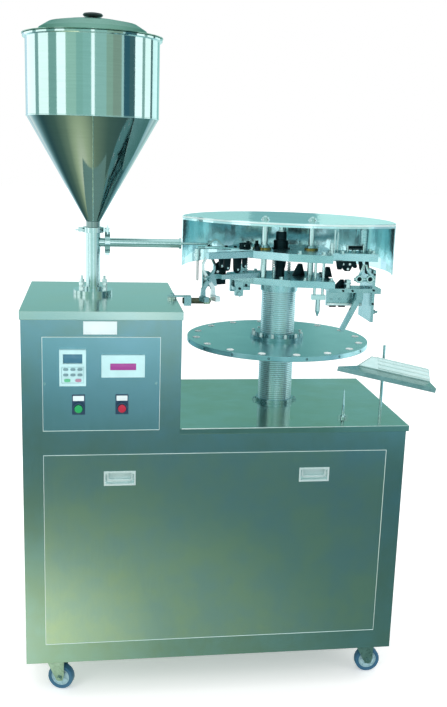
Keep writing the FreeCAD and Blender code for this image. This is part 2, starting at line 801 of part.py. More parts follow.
piston_foot = gland_level + 14
piece(fuse("piston_body", [
    cylinder("piston_head", bore_radius - piston_gap, 30, 0, 0, piston_foot),
    cylinder("piston_rod", rod_radius, piston_foot - cam_level + 60, 0, 0, cam_level - 60),
    cylinder("piston_follower", 7, 16, 0, 0, cam_level + 50, "X"),
]), "piston", hopper_x, hopper_y)

# Hinged pipe clamps with wing nuts, one under the hopper and one on the side port


def pipe_clamp(name):
    band = ring(name + "_band", clamp_radius, ferrule_radius, 15, 0, 0, -7.5)
    lug_left = box(name + "_lug", -clamp_radius - 12, -5, -6, 16, 10, 12)
    lug_right = box(name + "_hinge", clamp_radius - 3, -5, -6, 9, 10, 12)
    bolt = cylinder(name + "_bolt", 3, 30, -clamp_radius - 7, -16, 0, "Y")
    nut = cylinder(name + "_nut", 6, 8, -clamp_radius - 7, -14, 0, "Y")
    wings = box(name + "_wings", -clamp_radius - 20, -17, -2, 26, 4, 4)
    return fuse(name, [band, lug_left, lug_right, bolt, nut, wings])


upright = place(pipe_clamp("clamp_hopper"), 0, 0, outlet_level)
side = place(pipe_clamp("clamp_port"), 41, 0, port_level,
             FreeCAD.Rotation(FreeCAD.Vector(0, 1, 0), 90))
piece(group("clamps", [upright, side]), "pipe_clamps", hopper_x, hopper_y)

# Feed line to the filling valve and nozzle

pipe_start = 41
pipe_length = pipe_reach - pipe_start
valve_x = valve_reach
feed = fuse("feed_body", [
    cylinder("feed_ferrule", ferrule_radius, 4, pipe_start, 0, port_level, "X"),
    cylinder("feed_wide", pipe_radius, pipe_length, pipe_start, 0, port_level, "X"),
    cylinder("feed_thin", tube_radius, valve_x - pipe_start, pipe_start, 0, port_level, "X"),
])
piece(cut("feed", feed, [
    cylinder("feed_wide_bore", 9, pipe_length - 4, pipe_start, 0, port_level, "X"),
    cylinder("feed_thin_bore", 1.8, valve_x, pipe_start, 0, port_level, "X"),
]), "feed_pipe", hopper_x, hopper_y)

valve_parts = [
    box("valve_block", valve_x, -9, port_level - 14, 12, 18, 24),
    cylinder("valve_link", 4, valve_x - nozzle_reach + 4, nozzle_reach, 0, port_level - 11, "X"),
    cylinder("valve_body", 9, 34, nozzle_reach, 0, port_level - 48),
    cylinder("valve_nut", 11, 9, nozzle_reach, 0, port_level - 36),
]
piece(cut("valve", fuse("valve_fused", valve_parts), [
    cylinder("valve_bore", 3.5, 20, nozzle_reach, 0, port_level - 50),
]), "filling_valve", hopper_x, hopper_y)
nozzle = cut("nozzle_pipe", fuse("nozzle_body", [
    cylinder("nozzle_tube", nozzle_radius, 60, nozzle_reach, 0, port_level - 108),
    cylinder("nozzle_spigot", 3.5, 78, nozzle_reach, 0, port_level - 108),
]), [cylinder("nozzle_bore", 2.4, 100, nozzle_reach, 0, port_level - 118)])
piece(nozzle, "filling_nozzle", hopper_x, hopper_y)

# Column: fixed inner tube, rotating threaded sleeve and its index wheel

column_foot = deck_top
sleeve_foot = deck_top + 10.3
piece(cut("mast", fuse("mast_body", [
    cylinder("mast_tube", inner_radius, lower_level - column_foot, 0, 0, column_foot),
    cylinder("mast_flange", 70, 10, 0, 0, column_foot),
]), [cylinder("mast_bore", shaft_radius + 2, 600, 0, 0, column_foot - 10)]),
    "inner_column", column_x, column_y)

sleeve = new_body("sleeve_body")
sleeve_top = lower_level - collar_height - 0.5
sleeve_in = inner_radius + fit_gap
revolve(sleeve, "sleeve_turn", [
    (sleeve_in, sleeve_foot), (column_radius, sleeve_foot), (column_radius, sleeve_top - 2),
    (column_radius - 2, sleeve_top), (sleeve_in, sleeve_top)])
piece(sleeve, "index_column", column_x, column_y)

index = new_body("index_body")
pad(index, "index_disc", "XY_Plane", deck_top + 30, 16, None,
    [(0, 0, 120), (0, 0, column_radius)])
notch = pocket(index, "index_notch", "XY_Plane", deck_top + 46, 16, None, [(120, 0, 9)])
polar(index, "index_notches", notch, station_count)
piece(index, "index_wheel", column_x, column_y, 0, station_phase)

seal = ring("seal_ring", column_radius + 7, column_radius + 0.3, 10, 0, 0, table_height)
ears = [box("seal_ear_left", -column_radius - 16, -8, table_height, 12, 16, 6),
        box("seal_ear_right", column_radius + 4, -8, table_height, 12, 16, 6)]
piece(fuse("seal", [seal] + ears), "column_ring", column_x, column_y)

# Turntable with its ring of tube stations, clamped to the column by a split hub

table_disc = new_body("turntable_body")
pad(table_disc, "turntable_disc", "XY_Plane", turntable_top - turntable_thick, turntable_thick,
    None, [(0, 0, turntable_radius), (0, 0, column_radius + fit_gap)])
station = pocket(table_disc, "station_hole_cut", "XY_Plane", turntable_top, turntable_thick + 1,
                 None, [(station_radius, 0, station_hole)])
polar(table_disc, "station_holes", station, station_count)
piece(table_disc, "turntable", column_x, column_y, 0, station_phase)

hub = fuse("hub_body", [
    cylinder("hub_flange", hub_radius, hub_height / 2, 0, 0, turntable_top),
    cylinder("hub_collar", hub_radius - 14, hub_height, 0, 0, turntable_top),
    box("hub_lug", hub_radius - 18, -16, turntable_top, 14, 32, hub_height),
])
piece(cut("hub", hub, [
    cylinder("hub_bore", column_radius + fit_gap, 60, 0, 0, turntable_top - 10),
    box("hub_split", column_radius - 5, -1.5, turntable_top + hub_height / 2, 60, 3, 30),
]), "clamp_hub", column_x, column_y, 0, -40)

# Head: fixed lower plate on its collar

low = new_body("lower_body")
pad(low, "lower_pad", "XY_Plane", lower_level, lower_thick,
    [(-84, -36), (14, -88), (140, -114), (150, 70), (105, 125), (-70, 125), (-148, 74)],
    [(0, 0, shaft_radius + fit_gap), (91, -70, 4.3), (115, -70, 4.3)])
pad(low, "lower_collar", "XY_Plane", lower_level - collar_height, collar_height, None,
    [(0, 0, collar_radius), (0, 0, inner_radius)])
piece(low, "lower_plate", column_x, column_y)

# Moving upper plate with its right arm, spring cup and left bar

up = new_body("upper_body")
pad(up, "upper_pad", "XY_Plane", upper_level, upper_thick,
    [(-4, -134), (114, -176), (118, -95), (262, -116), (262, -38), (145, -14), (150, 50),
     (107, 120), (-99, 120), (-156, 40), (-156, -22)],
    [(0, 0, shaft_radius), (post_left, post_y, post_radius + fit_gap),
     (post_right, post_y, post_radius + fit_gap)])
cup = cylinder("spring_cup", 13, 64, 235, -52, upper_level + upper_thick)
cup_cap = cylinder("spring_cup_cap", 10, 4, 235, -52, upper_level + upper_thick + 64)
left_bar = box("left_bar", 110, 10, upper_level + 2, 152, 14, upper_thick - 4)
left_arm = group("left_arm", [left_bar])
left_arm.Placement = FreeCAD.Placement(
    FreeCAD.Vector(0, 0, 0), FreeCAD.Rotation(FreeCAD.Vector(0, 0, 1), 202.5 + station_phase))
bushes = []
for name, x in (("bush_left", post_left), ("bush_right", post_right)):
    bushes.append(ring(name, post_radius + 6, post_radius + fit_gap, 12, x, post_y,
                       upper_level + upper_thick))
piece(fuse("upper", [up, cup, cup_cap, left_arm] + bushes), "upper_plate", column_x, column_y)

nut_foot = upper_level + upper_thick
piece(fuse("nut_body", [
    cylinder("nut_washer", 27, 3, 0, 0, nut_foot),
    cylinder("nut_low", 21, 22, 0, 0, nut_foot + 3),
    cylinder("nut_high", 15, 25, 0, 0, nut_foot + 25),
]), "centre_nut", column_x, column_y)
shaft_foot = cam_level - 40
piece(fuse("shaft_body", [
    cylinder("shaft_rod", shaft_radius, nut_foot - shaft_foot, 0, 0, shaft_foot),
    cone("shaft_boot", 15.5, 20, 34, 0, 0, upper_level - 34),
    cylinder("shaft_follower", 8, 22, -22, 0, cam_level + 55, "X"),
]), "drive_shaft", column_x, column_y)

# Guide posts that also carry the cover

posts = []
post_foot = lower_level + lower_thick
cover_under = cover_top - cover_gauge
for name, x in (("post_l", post_left), ("post_r", post_right)):
    posts.append(fuse(name, [
        cylinder(name + "_rod", post_radius, cover_under - post_foot, x, post_y, post_foot),
        cylinder(name + "_stud", 5, cover_gauge + 6, x, post_y, cover_under),
        cylinder(name + "_cap", 9, 7, x, post_y, cover_top),
        cone(name + "_dome", 9, 4, 4, x, post_y, cover_top + 7),
    ]))
piece(group("posts", posts), "head_posts", column_x, column_y)

# Tongs bracket on the left and ejector bracket on the right

cheek = new_body("cheek_body")
pivot = tongs_pivot
pad(cheek, "cheek_pad", "XZ_Plane", 14, 6,
    [(tongs_reach + 14, pivot - 22), (tongs_reach + 14, pivot + 25),
     (tongs_reach - 4, pivot + 22), (tongs_reach - 20, pivot + 13),
     (tongs_reach - 30, pivot - 2), (tongs_reach - 34, pivot - 22)])
tongs_side = fuse("tongs_side", [
    cheek,
    box("tongs_bar", 76, -20, post_foot, 129, 24, 14),
    box("tongs_bar_end", 200, -20, post_foot, tongs_reach - 205, 6, 14),
    cylinder("tongs_pin", 5, 25, tongs_reach, -20, pivot, "Y"),
])
tongs_group = group("tongs_group", [tongs_side])
tongs_group.Placement = FreeCAD.Placement(
    FreeCAD.Vector(0, 0, 0), FreeCAD.Rotation(FreeCAD.Vector(0, 0, 1), 202.5 + station_phase))
hanger_foot = lower_level - 12
lugs = [
    box("ejector_lug_front", ejector_x - 10, -102, ejector_level - 9, 20, 6,
        hanger_foot - ejector_level + 9),
    box("ejector_lug_back", ejector_x - 10, -66, ejector_level - 9, 20, 6,
        hanger_foot - ejector_level + 9),
]
right_side = fuse("right_side", [
    box("side_hanger", 128, -106, hanger_foot, 126, 66, 12),
    box("side_plate", 254, -106, lower_level - 98, 8, 126, 152),
    box("punch_carrier", 131, -60, lower_level - 57, 108, 10, 45),
    cylinder("ejector_pin", 4, 42, ejector_x, -102, ejector_level, "Y"),
    cylinder("wing_screw", 3, 22, 262, -73, lower_level - 73, "X"),
    nut("wing_nut", 6.5, 8, 268, -73, lower_level - 73, "X"),
    box("wing_wings", 276, -86, lower_level - 75, 3, 26, 4),
] + lugs)

# Coding wedge on the outside of the side plate, and the crimp anvils of the next station

wedge = new_body("wedge_body")
pad(wedge, "wedge_pad", "XZ_Plane", 20, 30,
    [(262, lower_level - 30), (312, lower_level - 30), (312, lower_level - 14), (262, lower_level + 8)])
place(wedge, 0, 40, 0)
anvil_foot = lower_level - 44
anvils = fuse("anvils", [
    box("anvil_front", -128, 22, anvil_foot, 24, 20, 44),
    box("anvil_back", -136, 70, anvil_foot + 6, 26, 20, 38),
    box("anvil_bridge", -134, 30, anvil_foot + 16, 52, 52, 10),
    box("anvil_web", -100, 40, anvil_foot + 20, 20, 20, 24),
    cylinder("anvil_roll_front", 7, 30, -116, 12, anvil_foot + 6, "Y"),
])
piece(group("brackets", [tongs_group, fuse("right_side_all", [right_side, wedge]), anvils]),
      "head_brackets", column_x, column_y)


# Tongs: two curved levers that cross at one pin and pinch the tube end

def tong(name, side, front):
    body = new_body(name + "_arm")
    upper = [(-4, 4), (9, 4), (19, 24), (20, 44), (10, 62), (4, 62), (14, 43), (13, 26)]
    lower = [(4, -4), (-9, -4), (-24, -26), (-26, -50), (-11, -50), (-12, -30)]
    if side < 0:
        upper = [(-x, z) for x, z in reversed(upper)]
        lower = [(-x, z) for x, z in reversed(lower)]
    for part_name, points in (("_upper", upper), ("_lower", lower)):
        pad(body, name + part_name, "XZ_Plane", -front - 6, 6,
            [(tongs_reach + x, pivot + z) for x, z in points])
        if part_name == "_upper":
            pad(body, name + "_boss", "XZ_Plane", -front - 6, 6, None, [(tongs_reach, pivot, 10)])
    jaw_x = tongs_reach - 26 if side > 0 else tongs_reach + 11
    jaw = box(name + "_jaw", jaw_x, -12, pivot - 62, 15, 30, 14)
    hole = cylinder(name + "_hole", 5 + fit_gap, 60, tongs_reach, -30, pivot, "Y")
    return cut(name, fuse(name + "_body", [body, jaw]), [hole])


station_turn = 202.5 + station_phase
piece(tong("tong_inner", 1, -13), "inner_tong", column_x, column_y, 0, station_turn)
piece(tong("tong_outer", -1, -6.5), "outer_tong", column_x, column_y, 0, station_turn)

# Centring punch on two rods, and the ejector lever

yoke_level = lower_level - yoke_drop
rod_length = upper_level - yoke_level - 14
punch = fuse("punch_body", [
    cylinder("punch_rod_left", 4, rod_length, 91, -70, yoke_level + 14),
    cylinder("punch_rod_right", 4, rod_length, 115, -70, yoke_level + 14),
    box("punch_yoke", 83, -78, yoke_level, 40, 16, 14),
    cylinder("punch_stem", 7, 34, 103, -70, yoke_level - 34),
    cone("punch_tip", 1.5, 7, 16, 103, -70, yoke_level - 50),
])
piece(punch, "centre_punch", column_x, column_y)

lever = new_body("lever_body")
pad(lever, "lever_pad", "XZ_Plane", 82, 10,
    [(ejector_x - 8, ejector_level + 8), (ejector_x + 8, ejector_level + 8),
     (ejector_x + 9, ejector_level - 6), (ejector_x - 36, ejector_level - 98),
     (ejector_x - 45, ejector_level - 104), (ejector_x - 51, ejector_level - 96),
     (ejector_x - 10, ejector_level - 8)],
    [(ejector_x, ejector_level, 4 + fit_gap)])
piece(lever, "ejector_lever", column_x, column_y)

# Polished cover: flat top, flatter arc along the front with a folded lip, skirt round the back

dome = common("dome_lens", [
    cylinder("dome_outer", cover_radius, cover_height, cover_x, column_y, cover_bottom),
    cylinder("dome_arc", arc_radius, cover_height, arc_x, arc_y, cover_bottom),
])
dome_void = cylinder("dome_inner", cover_radius - cover_gauge, cover_height - cover_gauge + 5,
                     cover_x, column_y, cover_bottom - 5)
dome_cut = cut("dome_shell", dome, [dome_void])
lip = common("dome_lip", [
    ring("dome_fold", arc_radius, arc_radius - cover_gauge, 12, arc_x, arc_y, cover_under - 10),
    cylinder("dome_fold_end", cover_radius - 1, 12, cover_x, column_y, cover_under - 10),
])
post_holes = []
for name, x in (("cover_hole_left", post_left), ("cover_hole_right", post_right)):
    post_holes.append(cylinder(name, 5, 20, column_x + x, column_y + post_y, cover_top - 10))
piece(cut("dome", fuse("dome_lipped", [dome_cut, lip]), post_holes), "head_cover")

# Tube sensor on its swing arm beside the tower

arm_level = tower_height + 6
piece(cut("arm", fuse("arm_body", [
    box("arm_bar", -12, -9, arm_level + 0.3, 66, 18, 3),
    box("arm_block", 34, -13, arm_level - 24, 20, 26, 27),
    cylinder("arm_screw", 7, 6, 0, 0, arm_level + 3.3),
]), [
    cylinder("arm_bore", sensor_radius, 60, 20, 0, arm_level - 11, "X"),
    cylinder("arm_pivot", 4 + fit_gap, 40, 0, 0, arm_level - 20),
]), "sensor_arm", sensor_x, sensor_y)
piece(fuse("sensor_parts", [
    cylinder("sensor_barrel", sensor_radius, 62, 30, 0, arm_level - 11, "X"),
    cylinder("sensor_cap", sensor_radius + 1, 16, 92, 0, arm_level - 11, "X"),
    cylinder("sensor_tip", 4, 4, 108, 0, arm_level - 11, "X"),
]), "sensor", sensor_x, sensor_y)

# Discharge chute: folded tray clamped to a thin post

tray_clamp_level = tray_level + tray_clamp_top
piece(fuse("chute_rod", [
    cylinder("chute_rod_bar", chute_post_radius, tray_clamp_level - table_height + 25, 0, 0,
             table_height - 25),
    cylinder("chute_rod_tip", chute_tip_radius, chute_post_top - tray_clamp_level, 0, 0,
             tray_clamp_level),
    cylinder("chute_rod_nut", 8, 6, 0, 0, table_height - 9),
]), "chute_post", chute_post_x, chute_post_y)

tray = new_body("tray_body")
pad(tray, "tray_section", "YZ_Plane", -182, 306,
    [(-120, -13), (-118, -13), (-118, -2), (-65, 3), (-29, 33), (-31, 35), (-66, 5), (-120, 0)])
pocket(tray, "tray_mouth", "XY_Plane", 60, 120,
       [(-190, -125), (-181, -125), (-52, -28), (-52, 40), (-190, 40)])
tray_turn = FreeCAD.Rotation(FreeCAD.Vector(0, 1, 0), 12.85)
place(tray, 0, 0, tray_level, tray_turn)
clamp_block = box("tray_clamp", -10, -37, tray_clamp_level - 18, 20, 49, 18)
clamp_bore = cylinder("tray_bore", chute_post_radius + fit_gap, 80, 0, 0, tray_level - 30)
piece(cut("tray", fuse("tray_fused", [tray, clamp_block]), [clamp_bore]), "chute_tray",
      chute_post_x, chute_post_y)

# Guide pin with its winged base nut

pin = new_body("pin_body")
revolve(pin, "pin_turn", [
    (0, table_height - 20), (3, table_height - 20), (3, table_height), (9, table_height),
    (9, table_height + 5), (6, table_height + 9), (4.5, table_height + 12),
    (3.6, table_height + 40), (1.2, table_height + 84), (0, table_height + 86)])
pin_wings = box("pin_wings", -15, -2, table_height, 30, 4, 9)
piece(fuse("pin", [pin, pin_wings]), "guide_pin", pin_x, pin_y)

# Worm gear motor on the cam shaft, hung under the deck

motor_x = column_x - 210
motor_level = cam_level - 15
motor_parts = [
    box("gear_case", motor_x - 55, column_y - 55, cam_level - 65, 110, 130, 120),
    box("gear_mount", motor_x - 45, column_y - 40, cam_level + 50, 90, 80,
        deck_top - deck_thick - cam_level - 50),
    cylinder("motor_can", 52, 150, motor_x, column_y + 75, motor_level, "Y"),
    cylinder("motor_flange", 60, 12, motor_x, column_y + 75, motor_level, "Y"),
]
piece(cut("gear", fuse("gear_body", motor_parts), [
    cylinder("gear_bore", cam_shaft_radius + fit_gap, 200, motor_x - 75, column_y, cam_level, "X"),
]), "gear_motor")
piece(fuse("cams", [
    cylinder("cam_rod", cam_shaft_radius, column_x - hopper_x + 32, hopper_x - 62, column_y,
             cam_level, "X"),
    cylinder("cam_piston", 80, 14, hopper_x + 19, column_y, cam_level, "X"),
    cylinder("cam_head", 90, 14, column_x - 43, column_y, cam_level, "X"),
]), "cam_shaft")

doc.recompute()

# Nothing is written unless every object and every piece is sound

failed = []
for obj in doc.Objects:
    if "Invalid" in obj.State or "Error" in obj.State:
        failed.append("%s %s" % (obj.Name, obj.State))
for obj in NODES:
    if obj.Shape.isNull() or not obj.Shape.isValid() or not obj.Shape.Solids:
        failed.append("%s has no sound shape" % obj.Label)
if failed:
    raise RuntimeError("; ".join(failed))

os.makedirs("parts", exist_ok=True)
whole = FreeCAD.BoundBox()
facets = 0
for obj in NODES:
    obj.Shape.exportStep("parts/%s.step" % obj.Label)
    whole.add(obj.Shape.BoundBox)
    facets += len(obj.Shape.tessellate(0.3)[1])
print(len(NODES), "pieces", whole, "facets", facets)
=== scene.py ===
"""Looks of a semi-automatic tube filler with a volumetric piston, built around its CAD frame."""

import math

import bmesh
import bpy
from mathutils import Matrix, Vector


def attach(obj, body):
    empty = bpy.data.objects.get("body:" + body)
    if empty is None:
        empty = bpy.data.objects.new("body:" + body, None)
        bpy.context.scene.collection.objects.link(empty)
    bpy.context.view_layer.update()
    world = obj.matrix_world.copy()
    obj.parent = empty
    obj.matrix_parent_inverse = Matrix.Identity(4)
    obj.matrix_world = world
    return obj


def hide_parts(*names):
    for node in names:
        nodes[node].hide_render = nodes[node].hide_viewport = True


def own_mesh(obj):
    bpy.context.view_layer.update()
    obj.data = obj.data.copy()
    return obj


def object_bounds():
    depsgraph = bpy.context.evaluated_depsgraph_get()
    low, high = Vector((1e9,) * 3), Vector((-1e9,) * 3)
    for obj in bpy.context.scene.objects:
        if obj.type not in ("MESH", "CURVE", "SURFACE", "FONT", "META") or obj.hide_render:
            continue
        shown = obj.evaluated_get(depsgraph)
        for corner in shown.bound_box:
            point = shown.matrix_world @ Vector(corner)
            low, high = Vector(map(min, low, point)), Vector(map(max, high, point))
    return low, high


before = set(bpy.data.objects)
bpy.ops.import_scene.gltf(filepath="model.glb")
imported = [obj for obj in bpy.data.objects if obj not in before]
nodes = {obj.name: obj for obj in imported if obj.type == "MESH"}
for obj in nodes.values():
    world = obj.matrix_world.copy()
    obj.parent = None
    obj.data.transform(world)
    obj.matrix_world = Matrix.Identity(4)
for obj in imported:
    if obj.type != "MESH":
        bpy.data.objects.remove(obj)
cad_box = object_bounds()

# Lengths are in mm from here on, from the middle of the cabinet at the floor
MM = 0.001
FRAME_X = 46.34
FRAME_Y = 28.25
UP = (0, 0, 1)
FRONT = (0, -1, 0)
ALONG = (1, 0, 0)
COLUMN = (205, 20)
HOPPER = (-343, 45)
LOWER_PLATE = 1164
UPPER_PLATE = 1244
PANEL_FACE = -262
DOOR_FACE = -262.3


def at(x, y, z):
    """A point given from the cabinet's own middle, in mm, as a place in the frame."""
    return Vector(((x - FRAME_X) * MM, (y - FRAME_Y) * MM, z * MM))


def linear(code):
    """An sRGB hex colour as the linear colour that a shader takes."""
    values = [int(code[i:i + 2], 16) / 255 for i in (1, 3, 5)]
    return [v / 12.92 if v <= 0.04045 else ((v + 0.055) / 1.055) ** 2.4 for v in values] + [1.0]


def add(tree, kind, settings=None, inputs=None):
    """Adds a node with its settings, and sets or links its inputs.

    A node among the inputs stands for its first output.
    """
    made = tree.nodes.new(kind)
    for key, value in (settings or {}).items():
        setattr(made, key, value)
    for key, value in (inputs or {}).items():
        if isinstance(value, bpy.types.Node):
            value = value.outputs[0]
        if isinstance(value, bpy.types.NodeSocket):
            tree.links.new(value, made.inputs[key])
        else:
            made.inputs[key].default_value = value
    return made


# ---------------------------------------------------------------- finishes

FINISHES = {}


def shader_of(name):
    """A new material with its principled shader, ready for patterns."""
    material = bpy.data.materials.new(name)
    material.use_nodes = True
    material.node_tree.nodes.clear()
    shader = add(material.node_tree, "ShaderNodeBsdfPrincipled")
    add(material.node_tree, "ShaderNodeOutputMaterial", inputs={0: shader})
    FINISHES[name] = material
    return material.node_tree, shader


def metal(name, light, shade, rough, grain, cloud=260, wear=0.12, dent=0.15, edge=0.8, wave=0.4,
          bare=1.0, painted_shade_below=None):
    """Bare metal: a tone that drifts over cloud mm, and a grain of the given mm along X, Y, Z.

    wave is how deep its dents are in mm, bare how far it is from a white bloom; the last argument
    gives the level in mm under which the metal is darkened with painted shade, and the share of its
    tone that is left there.
    """
    tree, shader = shader_of(name)
    where = add(tree, "ShaderNodeTexCoord").outputs["Object"]
    drift = add(tree, "ShaderNodeTexNoise", inputs={
        "Vector": where, "Scale": 1 / (cloud * MM), "Detail": 5.0, "Roughness": 0.62})
    size = [1 / (g * MM) for g in grain]
    along = add(tree, "ShaderNodeMapping", inputs={"Vector": where, "Scale": size})
    lines = add(tree, "ShaderNodeTexNoise", inputs={
        "Vector": along, "Scale": 1.0, "Detail": 3.0, "Roughness": 0.6})
    tone = add(tree, "ShaderNodeMapRange", inputs={
        "Value": drift, "From Min": 0.35, "From Max": 0.65})
    mixed = add(tree, "ShaderNodeMix", {"data_type": "RGBA"}, {
        0: tone, 6: linear(light), 7: linear(shade)})
    fleck = add(tree, "ShaderNodeMapRange", inputs={
        "Value": lines, "From Min": 0.3, "From Max": 0.7,
        "To Min": 1 - wear, "To Max": 1 + wear})
    colour = add(tree, "ShaderNodeVectorMath", {"operation": "SCALE"}, {
        0: mixed.outputs[2], "Scale": fleck})
    # Painted shade: under the given level the tone is darkened
    if painted_shade_below:
        level, left = painted_shade_below
        height = add(tree, "ShaderNodeSeparateXYZ", inputs={0: where})
        share = add(tree, "ShaderNodeMapRange", inputs={
            "Value": height.outputs["Z"], "From Min": (level - 2) * MM, "From Max": level * MM,
            "To Min": left, "To Max": 1.0})
        colour = add(tree, "ShaderNodeVectorMath", {"operation": "SCALE"}, {
            0: colour, "Scale": share})
    uneven = min(0.25, wear * 2.5)
    gloss = add(tree, "ShaderNodeMapRange", inputs={
        "Value": lines, "From Min": 0.3, "From Max": 0.7,
        "To Min": rough * (1 - uneven), "To Max": rough * (1 + uneven)})
    rounded = add(tree, "ShaderNodeBevel", {"samples": 4}, {"Radius": edge * MM})
    bump = add(tree, "ShaderNodeBump", inputs={
        "Strength": dent, "Distance": wave * MM, "Height": lines,
        "Normal": rounded})
    shader.inputs["Metallic"].default_value = bare
    tree.links.new(colour.outputs[0], shader.inputs["Base Color"])
    tree.links.new(gloss.outputs[0], shader.inputs["Roughness"])
    tree.links.new(bump.outputs[0], shader.inputs["Normal"])


def moulded(name, colour, rough, pebble=0.8, dent=0.12, coat=0.0):
    """Plastic, rubber or paint: one colour that varies a little, over a fine pebbled skin."""
    tree, shader = shader_of(name)
    where = add(tree, "ShaderNodeTexCoord").outputs["Object"]
    skin = add(tree, "ShaderNodeTexNoise", inputs={
        "Vector": where, "Scale": 1 / (pebble * MM), "Detail": 2.0})
    drift = add(tree, "ShaderNodeTexNoise", inputs={
        "Vector": where, "Scale": 1 / (35 * MM), "Detail": 2.0})
    shift = add(tree, "ShaderNodeMapRange", inputs={
        "Value": drift, "From Min": 0.3, "From Max": 0.7,
        "To Min": 0.94, "To Max": 1.06})
    tint = add(tree, "ShaderNodeVectorMath", {"operation": "SCALE"}, {
        0: linear(colour)[:3], "Scale": shift})
    gloss = add(tree, "ShaderNodeMapRange", inputs={
        "Value": skin, "To Min": rough * 0.85, "To Max": rough * 1.15})
    rounded = add(tree, "ShaderNodeBevel", {"samples": 4}, {"Radius": 0.0006})
    bump = add(tree, "ShaderNodeBump", inputs={
        "Strength": dent, "Distance": 0.0002, "Height": skin,
        "Normal": rounded})
    tree.links.new(tint.outputs[0], shader.inputs["Base Color"])
    tree.links.new(gloss.outputs[0], shader.inputs["Roughness"])
    tree.links.new(bump.outputs[0], shader.inputs["Normal"])
    shader.inputs["Coat Weight"].default_value = coat
    shader.inputs["Coat Roughness"].default_value = 0.1


# Stainless sheet, belt brushed upright and clouded by years of wiping. The real 0.2 mm lines are
# drawn 1.6 mm wide, because finer ones would not show.
metal("brushed_steel_sheet", "#9cbac2", "#9bb3ae", 0.24, (1.6, 1.6, 60), 120, 0.02, 0.02, 1.2)
# The same sheet on the lift-off panel, a little warmer
metal("brushed_door_sheet", "#a8c0c6", "#b4c6ba", 0.22, (1.8, 1.8, 40), 110, 0.02, 0.02, 1.2)
# Satin stainless on the tower's cap: brushed from side to side
metal("satin_steel_cap", "#c2d4d0", "#c6d2c8", 0.17, (90, 2.0, 2.0), 220, 0.03, 0.04, 1.5)
# Mirror polished stainless: only a faint orange peel and long wiping marks
metal("mirror_steel_sheet", "#c6d8d6", "#bccbb8", 0.12, (60, 6, 60), 240, 0.03, 0.05, 1.5)
# Spun and polished stainless of the hopper: faint rings round its axis, and painted shade that
# darkens the cone
metal("spun_steel", "#c3d6d5", "#bdd2cf", 0.065, (90, 90, 5), 300, 0.03, 0.03, 1.0,
      painted_shade_below=(1621, 0.5))
# Spun lid, brushed in rings and a little green with age
metal("spun_lid", "#8fb0a4", "#86a898", 0.20, (60, 60, 3), 120, 0.05, 0.05, 1.0)
# Rolled and polished cover sheet, wavy enough to bend what it mirrors
metal("cover_steel", "#d2eef2", "#c0e4e8", 0.11, (55, 55, 160), 120, 0.05, 0.5, 1.2, wave=2.4,
      bare=0.9)
# Folded sheet of the chute's tray, rubbed dull by tubes
metal("tray_steel", "#adc4c2", "#90aaa8", 0.22, (60, 6, 6), 70, 0.08, 0.08, 1.0, bare=0.92)
# Rolled sheet, near white and only part metal, with a white bloom: a painted highlight that shows
# as white glare
metal("painted_highlight_sheet", "#eefafa", "#d6ebec", 0.14, (50, 8, 8), 60, 0.05, 0.08, 0.8, bare=0.6)
# Bead where sheet is folded over, near white and only part metal: a painted highlight, so it shows
# as a thin bright line
metal("painted_highlight_edge", "#eefafa", "#dcf0f0", 0.20, (40, 40, 40), 200, 0.04, 0.03, 0.4, bare=0.55)
# Turned bar and tube, ground and polished
metal("turned_steel", "#cfe0e1", "#c2d8d9", 0.15, (3, 3, 3), 120, 0.06, 0.06, 0.6)
# Milled steel levers and brackets, with the marks of the cutter
metal("milled_steel", "#b4ced1", "#98babf", 0.26, (2.5, 14, 2.5), 40, 0.14, 0.16, 0.8)
# Milled aluminium plate: paler and duller than steel
metal("milled_aluminium", "#bfe0e5", "#a9ced4", 0.28, (26, 3, 3), 90, 0.08, 0.10, 1.2)
# Faced turntable: aluminium with fine turning marks
metal("faced_aluminium", "#b3d8dc", "#a5cdd2", 0.25, (30, 30, 30), 140, 0.03, 0.03, 1.5)
# Faced hub of the turntable, darker than the plate: painted shade that stands in for the shadow
# line round it
metal("faced_hub", "#a3c4ca", "#8fb2b8", 0.24, (6, 6, 2), 60, 0.08, 0.06, 0.8)
# Thread of the column: bright crests over grooves darkened with painted shade
metal("threaded_steel", "#d2f0f4", "#c2e4ea", 0.30, (20, 20, 3), 120, 0.05, 0.03, 0.3, bare=0.85)
# Blackened steel of the drive nut and links
metal("black_steel", "#26363b", "#1c2a2f", 0.36, (3, 3, 3), 50, 0.25, 0.25, 0.6)
# Brass bushes
metal("brass", "#b99a56", "#a98a48", 0.26, (3, 3, 3), 40, 0.12, 0.10, 0.5)
# Zinc plated pressings of the casters
metal("zinc_plate", "#a6bcbd", "#90a9a8", 0.34, (7, 7, 7), 30, 0.16, 0.15, 0.8)
# Plated sensor barrel, grey brown
metal("plated_barrel", "#857b66", "#6f6857", 0.33, (3, 8, 8), 40, 0.10, 0.10, 0.5)
# Etched control plate: satin, blue-green
metal("panel_plate", "#a3c7d4", "#9cc0c6", 0.25, (1.8, 1.8, 50), 200, 0.02, 0.02, 0.8)
# Grey enamelled gear motor castings
moulded("grey_enamel", "#5d6668", 0.42, 1.2, 0.20, 0.2)
# Pale moulded housings of the keypad and the counter
moulded("pale_housing", "#b4dde0", 0.40, 0.7, 0.10)
# Silicone key mat
moulded("key_rubber", "#6d9299", 0.55, 0.9, 0.15)
moulded("key_green", "#56b888", 0.5, 0.9, 0.12)
moulded("key_pink", "#a87f96", 0.5, 0.9, 0.12)
# Tinted windows of the two displays
moulded("window_blue", "#3f7187", 0.16, 2.0, 0.02, 0.3)
moulded("window_magenta", "#9a3f8e", 0.18, 2.0, 0.02, 0.3)
# Dark blue holders, white label plates, and the buttons' coloured caps
moulded("holder_blue", "#20405c", 0.34, 0.8, 0.12, 0.2)
moulded("white_plate", "#d6e8ea", 0.30, 1.5, 0.05, 0.3)
moulded("cap_green", "#1f9d57", 0.24, 0.8, 0.05, 0.5)
moulded("cap_red", "#ad1838", 0.24, 0.8, 0.05, 0.5)
